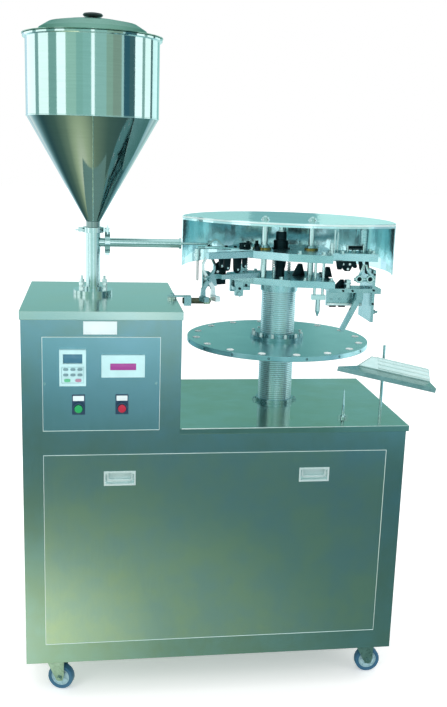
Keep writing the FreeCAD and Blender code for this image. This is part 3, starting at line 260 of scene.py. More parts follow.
# Black moulded lid knob, and black rubber pads
moulded("knob_black", "#1d2326", 0.30, 0.9, 0.12, 0.3)
moulded("black_rubber", "#1d2629", 0.62, 0.8, 0.25)
# Blue polyurethane tyres
moulded("tyre_blue", "#2c6384", 0.44, 1.5, 0.20)
moulded("hub_plastic", "#9fc3cb", 0.40, 1.2, 0.12)
# Natural plastic of the nozzle tube and the sensor's cap
moulded("nozzle_plastic", "#dfe7e6", 0.33, 1.0, 0.06)
# Near-white rims of the tube stations: their white is a painted highlight
moulded("painted_highlight_white", "#f2fbfb", 0.30, 0.8, 0.05)
moulded("sensor_cap", "#a9d2ae", 0.36, 1.0, 0.06)

OF_SLOT = {
    "brushed_steel_sheet": "brushed_steel_sheet", "polished_steel_sheet": "mirror_steel_sheet",
    "polished_steel_turned": "turned_steel", "machined_steel": "milled_steel",
    "machined_aluminium": "milled_aluminium", "dark_steel": "black_steel",
    "painted_panel": "panel_plate", "cast_grey": "grey_enamel", "pale_housing": "pale_housing",
    "key_rubber": "key_rubber", "screen_glass": "window_blue", "holder_blue": "holder_blue",
    "button_green": "cap_green", "button_red": "cap_red", "knob_black": "knob_black",
    "tyre_blue": "tyre_blue", "zinc_fork": "zinc_plate", "nozzle_white": "nozzle_plastic",
    "sensor_bronze": "plated_barrel"}
# The handle pans, bails, base studs and inner tong take near-white finishes that paint their
# highlights
OF_NODE = {
    "front_door": "brushed_door_sheet", "tower_cover": "satin_steel_cap", "hopper": "spun_steel",
    "hopper_lid": "spun_lid", "turntable": "faced_aluminium", "clamp_hub": "faced_hub",
    "head_cover": "cover_steel", "chute_tray": "tray_steel", "handle_pans": "painted_highlight_edge",
    "left_bail": "painted_highlight_sheet", "right_bail": "painted_highlight_sheet", "base_studs": "painted_highlight_sheet",
    "drive_shaft": "black_steel", "column_ring": "milled_steel", "inner_tong": "painted_highlight_sheet"}

for name, node in nodes.items():
    for place in node.material_slots:
        place.material = FINISHES[OF_NODE.get(name) or OF_SLOT[place.material.name]]


# Painted shade in the column's thread: dark grooves that wind round with it
THREAD_PITCH = 6.0
GROOVE_FROM = 0.33
GROOVE_TO = 0.47
SLEEVE_FOOT = 710.3
SLEEVE_TOP = 1142.5
tree = FINISHES["threaded_steel"].node_tree
shader = next(node for node in tree.nodes if node.type == "BSDF_PRINCIPLED")
where = add(tree, "ShaderNodeTexCoord").outputs["Object"]
from_axis = add(tree, "ShaderNodeVectorMath", {"operation": "SUBTRACT"}, {
    0: where, 1: at(*COLUMN, (SLEEVE_FOOT + SLEEVE_TOP) / 2)})
parts = add(tree, "ShaderNodeSeparateXYZ", inputs={0: from_axis})
bearing = add(tree, "ShaderNodeMath", {"operation": "ARCTAN2"}, {
    0: parts.outputs["Y"], 1: parts.outputs["X"]})
share = add(tree, "ShaderNodeMath", {"operation": "DIVIDE"}, {0: bearing, 1: 2 * math.pi})
rise = add(tree, "ShaderNodeMath", {"operation": "MULTIPLY_ADD"}, {
    0: parts.outputs["Z"], 1: 1 / (THREAD_PITCH * MM), 2: 400.0})
phase = add(tree, "ShaderNodeMath", {"operation": "SUBTRACT"}, {0: rise, 1: share})
wound = add(tree, "ShaderNodeMath", {"operation": "PINGPONG"}, {0: phase, 1: 0.5})
groove_shade = add(tree, "ShaderNodeMapRange", inputs={
    "Value": wound, "From Min": GROOVE_FROM - 0.05, "From Max": GROOVE_TO, "To Min": 1.0,
    "To Max": 0.4})
plain = shader.inputs["Base Color"].links[0].from_socket
darkened = add(tree, "ShaderNodeVectorMath", {"operation": "SCALE"}, {
    0: plain, "Scale": groove_shade})
tree.links.new(darkened.outputs[0], shader.inputs["Base Color"])


# ---------------------------------------------------------------- builders

SHARP = math.radians(32)


def keep(name, mesh, finish, body="cabinet", stands_for=()):
    """Gives a finished mesh its name, finish and body. Its place is in its mesh.
    """
    mesh.name = name
    piece = bpy.data.objects.new(name, mesh)
    bpy.context.scene.collection.objects.link(piece)
    mesh.materials.clear()
    mesh.materials.append(FINISHES[finish])
    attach(piece, body)
    if stands_for:
        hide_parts(*stands_for)
    return piece


def aimed(x, y, z, aim=UP, spin=0):
    """The transform that sets a shape made in mm, along +Z, at a place and along a direction."""
    turn = Vector(UP).rotation_difference(Vector(aim)).to_matrix().to_4x4()
    twist = Matrix.Rotation(math.radians(spin), 4, "Z")
    return Matrix.Translation(at(x, y, z)) @ turn @ twist @ Matrix.Scale(MM, 4)


def formed(name, shape, finish, body="cabinet", stands_for=()):
    """Keeps a bmesh as a mesh, merged, with its faces pointing out."""
    bmesh.ops.remove_doubles(shape, verts=shape.verts, dist=1e-7)
    bmesh.ops.recalc_face_normals(shape, faces=shape.faces)
    mesh = bpy.data.meshes.new("shape")
    shape.to_mesh(mesh)
    shape.free()
    mesh.shade_smooth()
    mesh.set_sharp_from_angle(angle=SHARP)
    return keep(name, mesh, finish, body, stands_for)


def turned(shape, profile, place, steps=48, hollow=False):
    """Adds a turned form to a bmesh: a profile of (radius, height) in mm, closed at its ends."""
    rings = []
    for radius, height in profile:
        if radius < 1e-6:
            rings.append([shape.verts.new(place @ Vector((0, 0, height)))] * steps)
            continue
        rings.append([shape.verts.new(place @ Vector((
            radius * math.cos(2 * math.pi * i / steps), radius * math.sin(2 * math.pi * i / steps),
            height))) for i in range(steps)])
    pairs = list(zip(rings, rings[1:]))
    if hollow:
        pairs.append((rings[-1], rings[0]))
    for low, high in pairs:
        for i in range(steps):
            j = (i + 1) % steps
            corners = []
            for vert in (low[i], low[j], high[j], high[i]):
                if vert not in corners:
                    corners.append(vert)
            if len(corners) > 2:
                shape.faces.new(corners)
    return shape


def skinned(shape, rings, closed=False):
    """Adds a swept form to a bmesh: equal rings of places joined in turn, its ends capped."""
    rings = [[shape.verts.new(spot) for spot in ring] for ring in rings]
    count = len(rings[0])
    for low, high in zip(rings, rings[1:] + rings[:1] if closed else rings[1:]):
        for i in range(count):
            j = (i + 1) % count
            shape.faces.new((low[i], low[j], high[j], high[i]))
    if not closed:
        shape.faces.new(rings[0][::-1])
        shape.faces.new(rings[-1])
    return shape


def slab(shape, outline, thick, place, soften=0.5, cuts=2):
    """Adds a plate to a bmesh: an outline in mm, its thickness along +Z, and its edges rounded."""
    low = [shape.verts.new(place @ Vector((x, y, 0))) for x, y in outline]
    high = [shape.verts.new(place @ Vector((x, y, thick))) for x, y in outline]
    faces = [shape.faces.new(low[::-1]), shape.faces.new(high)]
    for i in range(len(outline)):
        j = (i + 1) % len(outline)
        faces.append(shape.faces.new((low[i], low[j], high[j], high[i])))
    if soften:
        edges = list({e for f in faces for e in f.edges})
        bmesh.ops.bevel(shape, geom=edges, offset=soften * MM, segments=cuts, affect="EDGES",
                        profile=0.5)
    return shape


def block(shape, x, y, z, size, aim=UP, spin=0, soften=0.6):
    """Adds a rounded block to a bmesh, centred at a place."""
    a, b, c = (s / 2 for s in size)
    outline = [(-a, -b), (a, -b), (a, b), (-a, b)]
    place = aimed(x, y, z, aim, spin) @ Matrix.Translation((0, 0, -c))
    return slab(shape, outline, size[2], place, soften)


def rod(shape, start, end, radius, steps=16, dome=0.6):
    """Adds a round bar with softened ends between two points in mm."""
    run = Vector(end) - Vector(start)
    profile = [(0, 0), (radius - dome, 0), (radius, dome), (radius, run.length - dome),
               (radius - dome, run.length), (0, run.length)]
    return turned(shape, profile, aimed(*start, aim=run), steps)


def new_tree(name, sizes):
    """An empty tree with named sizes and a material, and its input sockets."""
    tree = bpy.data.node_groups.new(name, "GeometryNodeTree")
    face = tree.interface
    face.new_socket("Points", in_out="INPUT", socket_type="NodeSocketGeometry")
    face.new_socket("Result", in_out="OUTPUT", socket_type="NodeSocketGeometry")
    for label, value in sizes.items():
        kind = "NodeSocketInt" if isinstance(value, int) else "NodeSocketFloat"
        face.new_socket(label, in_out="INPUT", socket_type=kind).default_value = value
    face.new_socket("Finish", in_out="INPUT", socket_type="NodeSocketMaterial")
    return tree, add(tree, "NodeGroupInput").outputs


def close_tree(tree, given, geometry):
    """Ends a tree: instances made real, and the finish set."""
    real = add(tree, "GeometryNodeRealizeInstances", inputs={0: geometry})
    done = add(tree, "GeometryNodeSetMaterial", inputs={
        "Geometry": real, "Material": given["Finish"]})
    add(tree, "NodeGroupOutput", inputs={0: done})
    return tree


def set_on_points(tree, given, shape):
    """Puts a shape, made along +Z, at every point and along the direction stored there."""
    aim = add(tree, "GeometryNodeInputNamedAttribute", {"data_type": "FLOAT_VECTOR"},
              {"Name": "aim"})
    turn = add(tree, "FunctionNodeAlignRotationToVector", {"axis": "Z"},
               {"Vector": aim.outputs["Attribute"]})
    copies = add(tree, "GeometryNodeInstanceOnPoints", inputs={
        "Points": given["Points"], "Instance": shape, "Rotation": turn})
    return close_tree(tree, given, copies)


def grow(name, tree, points, sizes, finish, body="cabinet", stands_for=()):
    """Runs a tree on points of (place in mm, direction) and keeps the plain mesh that it makes."""
    seeds = bpy.data.meshes.new(name + "_points")
    seeds.from_pydata([at(*place) for place, aim in points], [], [])
    stored = seeds.attributes.new("aim", "FLOAT_VECTOR", "POINT")
    for item, (place, aim) in zip(stored.data, points):
        item.vector = aim
    holder = bpy.data.objects.new(name + "_points", seeds)
    bpy.context.scene.collection.objects.link(holder)
    made = holder.modifiers.new("Build", "NODES")
    made.node_group = tree
    for item in tree.interface.items_tree:
        if item.in_out == "INPUT" and item.name in sizes:
            made[item.identifier] = sizes[item.name]
        elif item.in_out == "INPUT" and item.name == "Finish":
            made[item.identifier] = FINISHES[finish]
    graph = bpy.context.evaluated_depsgraph_get()
    mesh = bpy.data.meshes.new_from_object(holder.evaluated_get(graph))
    holder.modifiers.remove(made)
    bpy.data.objects.remove(holder)
    mesh.shade_smooth()
    mesh.set_sharp_from_angle(angle=SHARP)
    return keep(name, mesh, finish, body, stands_for)


def lengths(**sizes):
    """Sizes in mm under their names in a tree, as metres; counts stay as they are."""
    return {label.replace("_", " ").capitalize(): value if isinstance(value, int) else value * MM
            for label, value in sizes.items()}


# Cap screw: a round head with a socket sunk in it
cap_screw, given = new_tree("cap_screw", lengths(
    head_radius=4.0, head_height=4.0, socket_depth=2.0))
head = add(cap_screw, "GeometryNodeMeshCylinder", {"fill_type": "NGON"}, {
    "Vertices": 20, "Radius": given["Head radius"], "Depth": given["Head height"]})
rim = add(cap_screw, "GeometryNodeExtrudeMesh", {"mode": "FACES"}, {
    "Mesh": head.outputs["Mesh"], "Selection": head.outputs["Top"], "Offset Scale": 0.0})
socket = add(cap_screw, "GeometryNodeScaleElements", {"domain": "FACE"}, {
    "Geometry": rim.outputs["Mesh"], "Selection": rim.outputs["Top"], "Scale": 0.55})
deep = add(cap_screw, "ShaderNodeMath", {"operation": "MULTIPLY"}, {
    0: given["Socket depth"], 1: -1.0})
sunk = add(cap_screw, "GeometryNodeExtrudeMesh", {"mode": "FACES"}, {
    "Mesh": socket, "Selection": rim.outputs["Top"],
    "Offset Scale": deep})
half = add(cap_screw, "ShaderNodeMath", {"operation": "MULTIPLY"}, {
    0: given["Head height"], 1: 0.5})
lift = add(cap_screw, "ShaderNodeCombineXYZ", inputs={"Z": half})
seated = add(cap_screw, "GeometryNodeTransform", inputs={
    "Geometry": sunk.outputs["Mesh"], "Translation": lift})
set_on_points(cap_screw, given, seated)

# Hexagon bolt on its washer
hex_bolt, given = new_tree("hex_bolt", lengths(head_radius=5.0, head_height=4.5, washer_radius=7.0))
washer = add(hex_bolt, "GeometryNodeMeshCylinder", {"fill_type": "NGON"}, {
    "Vertices": 24, "Radius": given["Washer radius"], "Depth": 2.4 * MM})
head = add(hex_bolt, "GeometryNodeMeshCylinder", {"fill_type": "NGON"}, {
    "Vertices": 6, "Radius": given["Head radius"], "Depth": given["Head height"]})
half = add(hex_bolt, "ShaderNodeMath", {"operation": "MULTIPLY_ADD"}, {
    0: given["Head height"], 1: 0.5, 2: 1.0 * MM})
lift = add(hex_bolt, "ShaderNodeCombineXYZ", inputs={"Z": half})
raised = add(hex_bolt, "GeometryNodeTransform", inputs={
    "Geometry": head.outputs["Mesh"], "Translation": lift})
both = add(hex_bolt, "GeometryNodeJoinGeometry", inputs={0: washer.outputs["Mesh"]})
hex_bolt.links.new(raised.outputs[0], both.inputs[0])
set_on_points(hex_bolt, given, both)

# Coil spring, wound along +Z
coil, given = new_tree("coil_spring", lengths(
    coil_radius=6.0, wire_radius=1.0, height=40.0, turns=7, steps=20))
spiral = add(coil, "GeometryNodeCurveSpiral", inputs={
    "Resolution": given["Steps"], "Rotations": given["Turns"],
    "Start Radius": given["Coil radius"], "End Radius": given["Coil radius"],
    "Height": given["Height"]})
wire = add(coil, "GeometryNodeCurvePrimitiveCircle", {"mode": "RADIUS"}, {
    "Resolution": 6, "Radius": given["Wire radius"]})
wound = add(coil, "GeometryNodeCurveToMesh", inputs={
    "Curve": spiral, "Profile Curve": wire, "Fill Caps": True})
set_on_points(coil, given, wound)

# Knurled band: upright ribs round a circle
knurl, given = new_tree("knurled_band", lengths(
    band_radius=20.0, rib_width=2.0, rib_depth=1.2, rib_height=20.0, ribs=24))
circle = add(knurl, "GeometryNodeMeshCircle", inputs={
    "Vertices": given["Ribs"], "Radius": given["Band radius"]})
size = add(knurl, "ShaderNodeCombineXYZ", inputs={
    "X": given["Rib depth"], "Y": given["Rib width"], "Z": given["Rib height"]})
rib = add(knurl, "GeometryNodeMeshCube", inputs={"Size": size})
outward = add(knurl, "GeometryNodeInputPosition")
turn = add(knurl, "FunctionNodeAlignRotationToVector", {"axis": "X"},
           {"Vector": outward})
band = add(knurl, "GeometryNodeInstanceOnPoints", inputs={
    "Points": circle, "Instance": rib, "Rotation": turn})
set_on_points(knurl, given, band)

# Screw thread: a tube whose wall goes in and out along a helix
thread, given = new_tree("screw_thread", lengths(
    crest_radius=50.4, depth=1.3, pitch=6.0, length=400.0, around=72, rows=400))
grid = add(thread, "GeometryNodeMeshGrid", inputs={
    "Size X": 1.0, "Size Y": given["Length"],
    "Vertices X": given["Around"], "Vertices Y": given["Rows"]})
place = add(thread, "GeometryNodeInputPosition")
parts = add(thread, "ShaderNodeSeparateXYZ", inputs={0: place})
share = add(thread, "ShaderNodeMath", {"operation": "ADD"}, {0: parts, 1: 0.5})
angle = add(thread, "ShaderNodeMath", {"operation": "MULTIPLY"}, {
    0: share, 1: 2 * math.pi})
rise = add(thread, "ShaderNodeMath", {"operation": "DIVIDE"}, {
    0: parts.outputs[1], 1: given["Pitch"]})
phase = add(thread, "ShaderNodeMath", {"operation": "SUBTRACT"}, {
    0: rise, 1: share})
wave = add(thread, "ShaderNodeMath", {"operation": "PINGPONG"}, {0: phase, 1: 0.5})
flank = add(thread, "ShaderNodeMapRange", inputs={
    "Value": wave, "From Min": GROOVE_FROM, "From Max": GROOVE_TO})
inset = add(thread, "ShaderNodeMath", {"operation": "MULTIPLY"}, {
    0: flank, 1: given["Depth"]})
radius = add(thread, "ShaderNodeMath", {"operation": "SUBTRACT"}, {
    0: given["Crest radius"], 1: inset})
across = add(thread, "ShaderNodeMath", {"operation": "COSINE"}, {0: angle})
along = add(thread, "ShaderNodeMath", {"operation": "SINE"}, {0: angle})
x_out = add(thread, "ShaderNodeMath", {"operation": "MULTIPLY"}, {
    0: radius, 1: across})
y_out = add(thread, "ShaderNodeMath", {"operation": "MULTIPLY"}, {
    0: radius, 1: along})
bent = add(thread, "ShaderNodeCombineXYZ", inputs={
    0: x_out, 1: y_out, 2: parts.outputs[1]})
shaped = add(thread, "GeometryNodeSetPosition", inputs={
    "Geometry": grid.outputs["Mesh"], "Position": bent})
sewn = add(thread, "GeometryNodeMergeByDistance", inputs={
    "Geometry": shaped, "Distance": 0.00001})
set_on_points(thread, given, sewn)


def upward(level, *spots):
    """Points at one level, each with the direction straight up."""
    return [((x, y, level), UP) for x, y in spots]


def frontward(face, *spots):
    """Points on one upright face, each with the direction to the front."""
    return [((x, face, z), FRONT) for x, z in spots]


def ring_of(centre, radius, count, level, phase=0.0, outward=False):
    """Points round a circle, each with the direction straight up or outward."""
    points = []
    for i in range(count):
        t = math.radians(phase + 360 * i / count)
        c, s = math.cos(t), math.sin(t)
        points.append(((centre[0] + radius * c, centre[1] + radius * s, level),
                       (c, s, 0) if outward else UP))
    return points


def screws(name, points, radius, height, socket, finish, body="cabinet"):
    """Cap screws whose heads have the given sizes in mm."""
    grow(name, cap_screw, points,
         lengths(head_radius=radius, head_height=height, socket_depth=socket), finish, body)


def bolts(name, points, radius, height, washer, finish, body="cabinet"):
    """Hexagon bolts or nuts, with heads and washers of the given sizes in mm."""
    grow(name, hex_bolt, points,
         lengths(head_radius=radius, head_height=height, washer_radius=washer), finish, body)


# ---------------------------------------------------------------- column and turntable

SLEEVE_BORE = 30.1
STATIONS = 16
STATION_PHASE = 1.5
TURNTABLE_TOP = 1000
HUB_TOP = 1009
SEAL_TOP = 811

sleeve = grow("column_thread", thread, upward((SLEEVE_FOOT + SLEEVE_TOP) / 2, COLUMN),
              lengths(crest_radius=50.45, depth=0.5, pitch=THREAD_PITCH,
                      length=SLEEVE_TOP - SLEEVE_FOOT, around=73, rows=577),
              "threaded_steel", "column_sleeve", ("index_column",))
shape = bmesh.new()
shape.from_mesh(sleeve.data)
for level in (SLEEVE_FOOT, SLEEVE_TOP):
    axis = at(*COLUMN, level)
    rim = [e for e in shape.edges if e.is_boundary and abs(e.verts[0].co.z - level * MM) < 0.001]
    inner = bmesh.ops.extrude_edge_only(shape, edges=rim)["geom"]
    for vert in [v for v in inner if isinstance(v, bmesh.types.BMVert)]:
        out = vert.co - axis
        vert.co = axis + Vector((out.x, out.y, 0)).normalized() * SLEEVE_BORE * MM
bmesh.ops.bridge_loops(shape, edges=[e for e in shape.edges if e.is_boundary])
bmesh.ops.recalc_face_normals(shape, faces=shape.faces)
shape.to_mesh(sleeve.data)
shape.free()

# Rims seated in the stations' holes, whose white is a painted highlight
bushes = bmesh.new()
for place, aim in ring_of(COLUMN, 245, STATIONS, TURNTABLE_TOP, STATION_PHASE):
    turned(bushes, [(5.5, -13), (5.95, -13), (5.95, 0.05), (10.5, 0.05), (10.8, 0.7), (9.6, 1.5),
                    (6.6, 1.5), (5.5, 0.2)], aimed(*place), 24, hollow=True)
formed("station_rims", bushes, "painted_highlight_white", "turntable")
screws("rim_set_screws", ring_of(COLUMN, 269.6, STATIONS, 993, STATION_PHASE + 5, outward=True),
       3.2, 0.7, 0.5, "black_steel", "turntable")
# The hub screws' near-white finish paints their highlights
screws("hub_screws", ring_of(COLUMN, 73, 12, HUB_TOP, 8), 4.6, 11.0, 3.0, "painted_highlight_edge",
       "turntable")
screws("seal_screws", upward(SEAL_TOP, (COLUMN[0] - 61, COLUMN[1]), (COLUMN[0] + 61, COLUMN[1])),
       3.6, 3.6, 1.6, "turned_steel")

# ---------------------------------------------------------------- casters

CASTER_X = 460
CASTER_Y = 190
TRAIL = 26
WHEEL_LEVEL = 37.5
FORK_HALF = 17
CASTER_PLATE = 109

for name, side, end, turn in (("front_left", -1, -1, -20), ("front_right", 1, -1, 0),
                              ("rear_left", -1, 1, 0), ("rear_right", 1, 1, 0)):
    swing = math.radians(turn)
    middle = Vector((CASTER_X * side + TRAIL * math.cos(swing),
                     CASTER_Y * end + TRAIL * math.sin(swing), WHEEL_LEVEL))
    axle = Vector((-math.sin(swing), math.cos(swing), 0))
    place = aimed(*middle, aim=axle)
    wheel = ("caster_wheel_" + name,)
    tyre = turned(bmesh.new(), [
        (26.8, -9.4), (34, -12), (36.3, -10.9), (37.4, -8), (37.4, 8), (36.3, 10.9), (34, 12),
        (26.8, 9.4)], place, 64, hollow=True)
    formed("tyre_" + name, tyre, "tyre_blue", "wheel_" + name, stands_for=wheel)
    core = turned(bmesh.new(), [
        (4.1, -13), (10.5, -13), (11.5, -6.5), (23.5, -6), (25, -8.8), (26.7, -8.8), (26.7, 8.8),
        (25, 8.8), (23.5, 6), (11.5, 6.5), (10.5, 13), (4.1, 13)], place, 48, hollow=True)
    for i in range(6):
        spoke = place @ Matrix.Rotation(math.radians(60 * i), 4, "Z")
        for face in (-8.4, 5.9):
            slab(core, [(10.8, -1.3), (24.2, -1.3), (24.2, 1.3), (10.8, 1.3)], 2.5,
                 spoke @ Matrix.Translation((0, 0, face)), 0.4, 1)
    formed("hub_" + name, core, "hub_plastic", "wheel_" + name, wheel)
    nuts = [(tuple(middle + axle * (FORK_HALF + 1) * hand), tuple(axle * hand))
            for hand in (-1, 1)]
    bolts("axle_nuts_" + name, nuts, 6.5, 4.5, 8.0, "zinc_plate", "swivel_" + name)

plate_bolts = [((CASTER_X * side + 37 * i, CASTER_Y * end + 27 * j, CASTER_PLATE), (0, 0, -1))
               for side in (-1, 1) for end in (-1, 1) for i in (-1, 1) for j in (-1, 1)]
bolts("caster_plate_bolts", plate_bolts, 5.2, 4.0, 6.6, "zinc_plate")

# ---------------------------------------------------------------- sheet edges


def beaded(name, x0, x1, z0, z1, face, body):
    """A rolled bead round the edge of an upright sheet: it is what draws the bright line there, a
    painted highlight in its near-white finish.
    """
    section = [(0.0, 0.3), (0.0, -0.6), (0.4, -1.1), (1.0, -1.2), (1.5, -0.7), (1.7, 0.3)]
    corners = ((x0, z0, 1, 1), (x1, z0, -1, 1), (x1, z1, -1, -1), (x0, z1, 1, -1))
    rings = [[at(x + into_x * a, face + b, z + into_z * a) for a, b in section]
             for x, z, into_x, into_z in corners]
    formed(name, skinned(bmesh.new(), rings, True), "painted_highlight_edge", body)


beaded("door_edge", -476, 476, 174, 734, DOOR_FACE, "door")
beaded("panel_edge", -476, -166, 801, 1058, PANEL_FACE, "cabinet")

# Rounded front and right edge of the table top, in a near-white finish that paints its highlight
TOP_FRONT = 265.2
TOP_RIGHT = 535.2
TOP_MIDDLE = 804.4
section = ((-0.8, -1.4), (-1.1, 0), (-0.4, 0.9), (0.8, 1.1), (1.6, 0.8), (1.8, 0.2), (0.8, -1.0))
corners = ((-106, -TOP_FRONT, 0, 1), (TOP_RIGHT, -TOP_FRONT, -0.7, 0.7),
           (TOP_RIGHT, TOP_FRONT, -1, 0))
edge_rings = [[at(x + into_x * a, y + into_y * a, TOP_MIDDLE + b) for a, b in section]
              for x, y, into_x, into_y in corners]
formed("table_edge", skinned(bmesh.new(), edge_rings), "painted_highlight_edge")

# ---------------------------------------------------------------- control panel

BUTTONS = (-382, -267.5)
BUTTON_LEVEL = 865

screws("panel_screws", frontward(PANEL_FACE, (-470, 931.8), (-177, 931.8)), 3.6, 2.2, 1.0,
       "turned_steel")

plates = bmesh.new()
collars = bmesh.new()
for x in BUTTONS:
    block(plates, x, -264.8, 892, (29, 14, 1.4), FRONT, soften=0.5)
    turned(collars, [(11.2, 0), (15.6, 0), (15.6, 1.6), (14.6, 3.2), (12.2, 3.6), (11.2, 2.6)],
           aimed(x, -266.4, BUTTON_LEVEL, FRONT), 40, hollow=True)
formed("button_labels", plates, "white_plate")
plate = block(bmesh.new(), -325.2, -260.6, 1081.5, (87.5, 35, 1.0), FRONT, soften=0.4)
formed("name_plate", plate, "white_plate")
formed("button_collars", collars, "holder_blue")
for name, x, finish, body in (("start_cap", BUTTONS[0], "cap_green", "start_push"),
                              ("stop_cap", BUTTONS[1], "cap_red", "stop_push")):
    cap = turned(bmesh.new(), [(0, -3), (9.6, -3), (10.4, -1.2), (10.4, 0.2), (9.2, 1.1), (0, 1.3)],
                 aimed(x, -274, BUTTON_LEVEL, FRONT), 40)
    formed(name, cap, finish, body)

for name, x, y, z, size, finish in (
        ("keypad_window", -396, -272.4, 1002.5, (49, 25, 2.2), "window_blue"),
        ("counter_window", -265, -269.2, 979, (68, 18, 2.2), "window_magenta")):
    formed(name, block(bmesh.new(), x, y, z, size, FRONT), finish,
           stands_for=("display_windows",))


def key(shape, x, z, wide, tall):
    """One rubber key: a rounded block that stands 2 mm out of the mat."""
    outline = []
    for i in range(16):
        t = 2 * math.pi * (i + 0.5) / 16
        c, s = math.cos(t), math.sin(t)
        outline.append((wide / 2 * math.copysign(abs(c) ** 0.5, c),
                        tall / 2 * math.copysign(abs(s) ** 0.5, s)))
    return slab(shape, outline, 2.0, aimed(x, -273.4, z, FRONT), 0.5, 1)


grey_keys = bmesh.new()
for x in (-414.4, -395.9, -377.6):
    for z in (973.4, 958.6):
        key(grey_keys, x, z, 13, 7)
for name, shape, finish in (
        ("key_sheet", block(bmesh.new(), -396.5, -273, 958, (56, 42, 1.6), FRONT), "pale_housing"),
        ("grey_keys", grey_keys, "key_rubber"),
        ("run_key", key(bmesh.new(), -410.6, 943.6, 16, 8), "key_green"),
        ("halt_key", key(bmesh.new(), -382, 943.6, 16, 8), "key_pink")):
    formed(name, shape, finish, stands_for=("key_mat",))

# ---------------------------------------------------------------- hopper and feed line

FEED_LEVEL = 1273
CONE_TOP = (183.9, 1620)
CONE_END = (24.0, 1336.0)

bead = turned(bmesh.new(), [(183.2, -2.4), (184.5, -1.4), (184.9, 0), (184.5, 1.4), (183.2, 2.4)],
              aimed(*HOPPER, 1622), 120, hollow=True)
formed("hopper_seam", bead, "spun_steel")

SEAM_STEPS = 40
seam_rings = []
for i in range(SEAM_STEPS + 1):
    share = i / SEAM_STEPS
    out = HOPPER[1] - CONE_TOP[0] + share * (CONE_TOP[0] - CONE_END[0])
    level = CONE_TOP[1] + share * (CONE_END[1] - CONE_TOP[1])
    wide = 1.5 + 0.4 * math.sin(i * 2.4)
    seam_rings.append([at(HOPPER[0] + a * wide, out - b * 1.1, level - b * 0.5)
                       for a, b in ((-1, -0.6), (-0.8, 0.6), (0, 1), (0.8, 0.6), (1, -0.6))])
formed("cone_seam", skinned(bmesh.new(), seam_rings), "turned_steel")

gasket = bmesh.new()
for bore, place in ((21.4, aimed(*HOPPER, 1309)),
                    (13.2, aimed(HOPPER[0] + 41, HOPPER[1], FEED_LEVEL, ALONG))):
    turned(gasket, [(bore, -1.2), (26.2, -1.2), (26.2, 1.2), (bore, 1.2)], place, 48, hollow=True)
formed("clamp_gaskets", gasket, "nozzle_plastic")
neck = turned(bmesh.new(), [(12.3, -3), (15.5, -3), (15.5, 3), (12.3, 3)],
              aimed(-91, HOPPER[1], FEED_LEVEL, ALONG), 40, hollow=True)
formed("pipe_end_ring", neck, "turned_steel")

# ---------------------------------------------------------------- sensor and chute

SENSOR_AXIS = (-50, 1120)

barrel = [(0, 0), (8.2, 0)]
for i in range(19):
    barrel += [(8.7, 0.8 + 3.2 * i), (8.7, 2.4 + 3.2 * i), (8.2, 3.2 + 3.2 * i)]
barrel += [(8.2, 62), (0, 62)]
face = [(0, 0), (9.2, 0), (9.5, 0.6), (9.5, 14.5), (8.6, 15.8), (0, 15.8)]
tip = [(0, 0), (8.6, 0), (8.2, 1.5), (4, 1.9), (3.6, 4), (0, 4)]
for name, x, profile, steps, finish in (("sensor_barrel", -90, barrel, 32, "plated_barrel"),
                                        ("sensor_face", -28, face, 40, "sensor_cap"),
                                        ("sensor_tip", -12.2, tip, 32, "black_rubber")):
    formed(name, turned(bmesh.new(), profile, aimed(x, *SENSOR_AXIS, ALONG), steps), finish,
           "sensor_swing", ("sensor",))

CHUTE_POST = (500, -110, 930)
TRAY_TILT = math.radians(12.85)


def on_tray(x, y, z):
    """A point given in the chute's own directions, from its post, in cabinet mm."""
    c, s = math.cos(TRAY_TILT), math.sin(TRAY_TILT)
    return (CHUTE_POST[0] + x * c + z * s, CHUTE_POST[1] + y, CHUTE_POST[2] - x * s + z * c)


# Near-white sheet on the tray's back wall, under its three rails: a painted highlight where the
# wall catches the light
wall_highlight = [[at(*on_tray(x, y, z)) for x, y, z in (
    (low, -64.3, 6.4), (high, -33.3, 32.9), (high, -33.9, 34.0), (low, -64.9, 7.5))]
    for low, high in ((-96, -56), (122, 122))]
formed("chute_wall_highlight", skinned(bmesh.new(), wall_highlight), "painted_highlight_sheet", "chute")
# The rails' near-white finish paints their highlights
rails = bmesh.new()
for y, z in ((-60.5, 11.2), (-50, 20), (-39.5, 28.6)):
    rod(rails, on_tray(-38, y, z), on_tray(121, y, z), 3.0, 14, 1.0)
rod(rails, on_tray(-40, -30, 34.5), on_tray(123, -30, 34.5), 2.2, 12, 0.8)
formed("chute_rails", rails, "painted_highlight_edge", "chute")

# ---------------------------------------------------------------- nut, posts and springs

LOWER_TOP = LOWER_PLATE + 20
UPPER_TOP = UPPER_PLATE + 22
POSTS = ((150, -8), (290, -8))

for name, rise, radius, wide, deep, high, ribs in (
        ("nut_knurling", 14, 21.0, 1.9, 1.6, 20.0, 36),
        ("nut_top_knurling", 37, 15.0, 1.7, 1.4, 21.0, 28)):
    grow(name, knurl, upward(UPPER_TOP + rise, COLUMN),
         lengths(band_radius=radius, rib_width=wide, rib_depth=deep, rib_height=high, ribs=ribs),
         "black_steel", "press")
stud = turned(bmesh.new(), [(0, 0), (9.5, 0), (9.5, 3), (6.5, 3.5), (6.5, 19), (5.4, 20.5),
                            (0, 20.5)], aimed(*COLUMN, 1316), 28)
formed("nut_stud", stud, "turned_steel", "press")
collars = bmesh.new()
for x, y in POSTS:
    turned(collars, [(15.1, 0), (20.5, 0), (20.5, 4.5), (18.5, 6), (15.1, 6)],
           aimed(x, y, UPPER_TOP + 0.1), 40, hollow=True)
formed("brass_bushes", collars, "brass", "press")
bolts("post_cap_nuts", upward(1353, *POSTS), 9.8, 5.0, 12.5, "turned_steel")

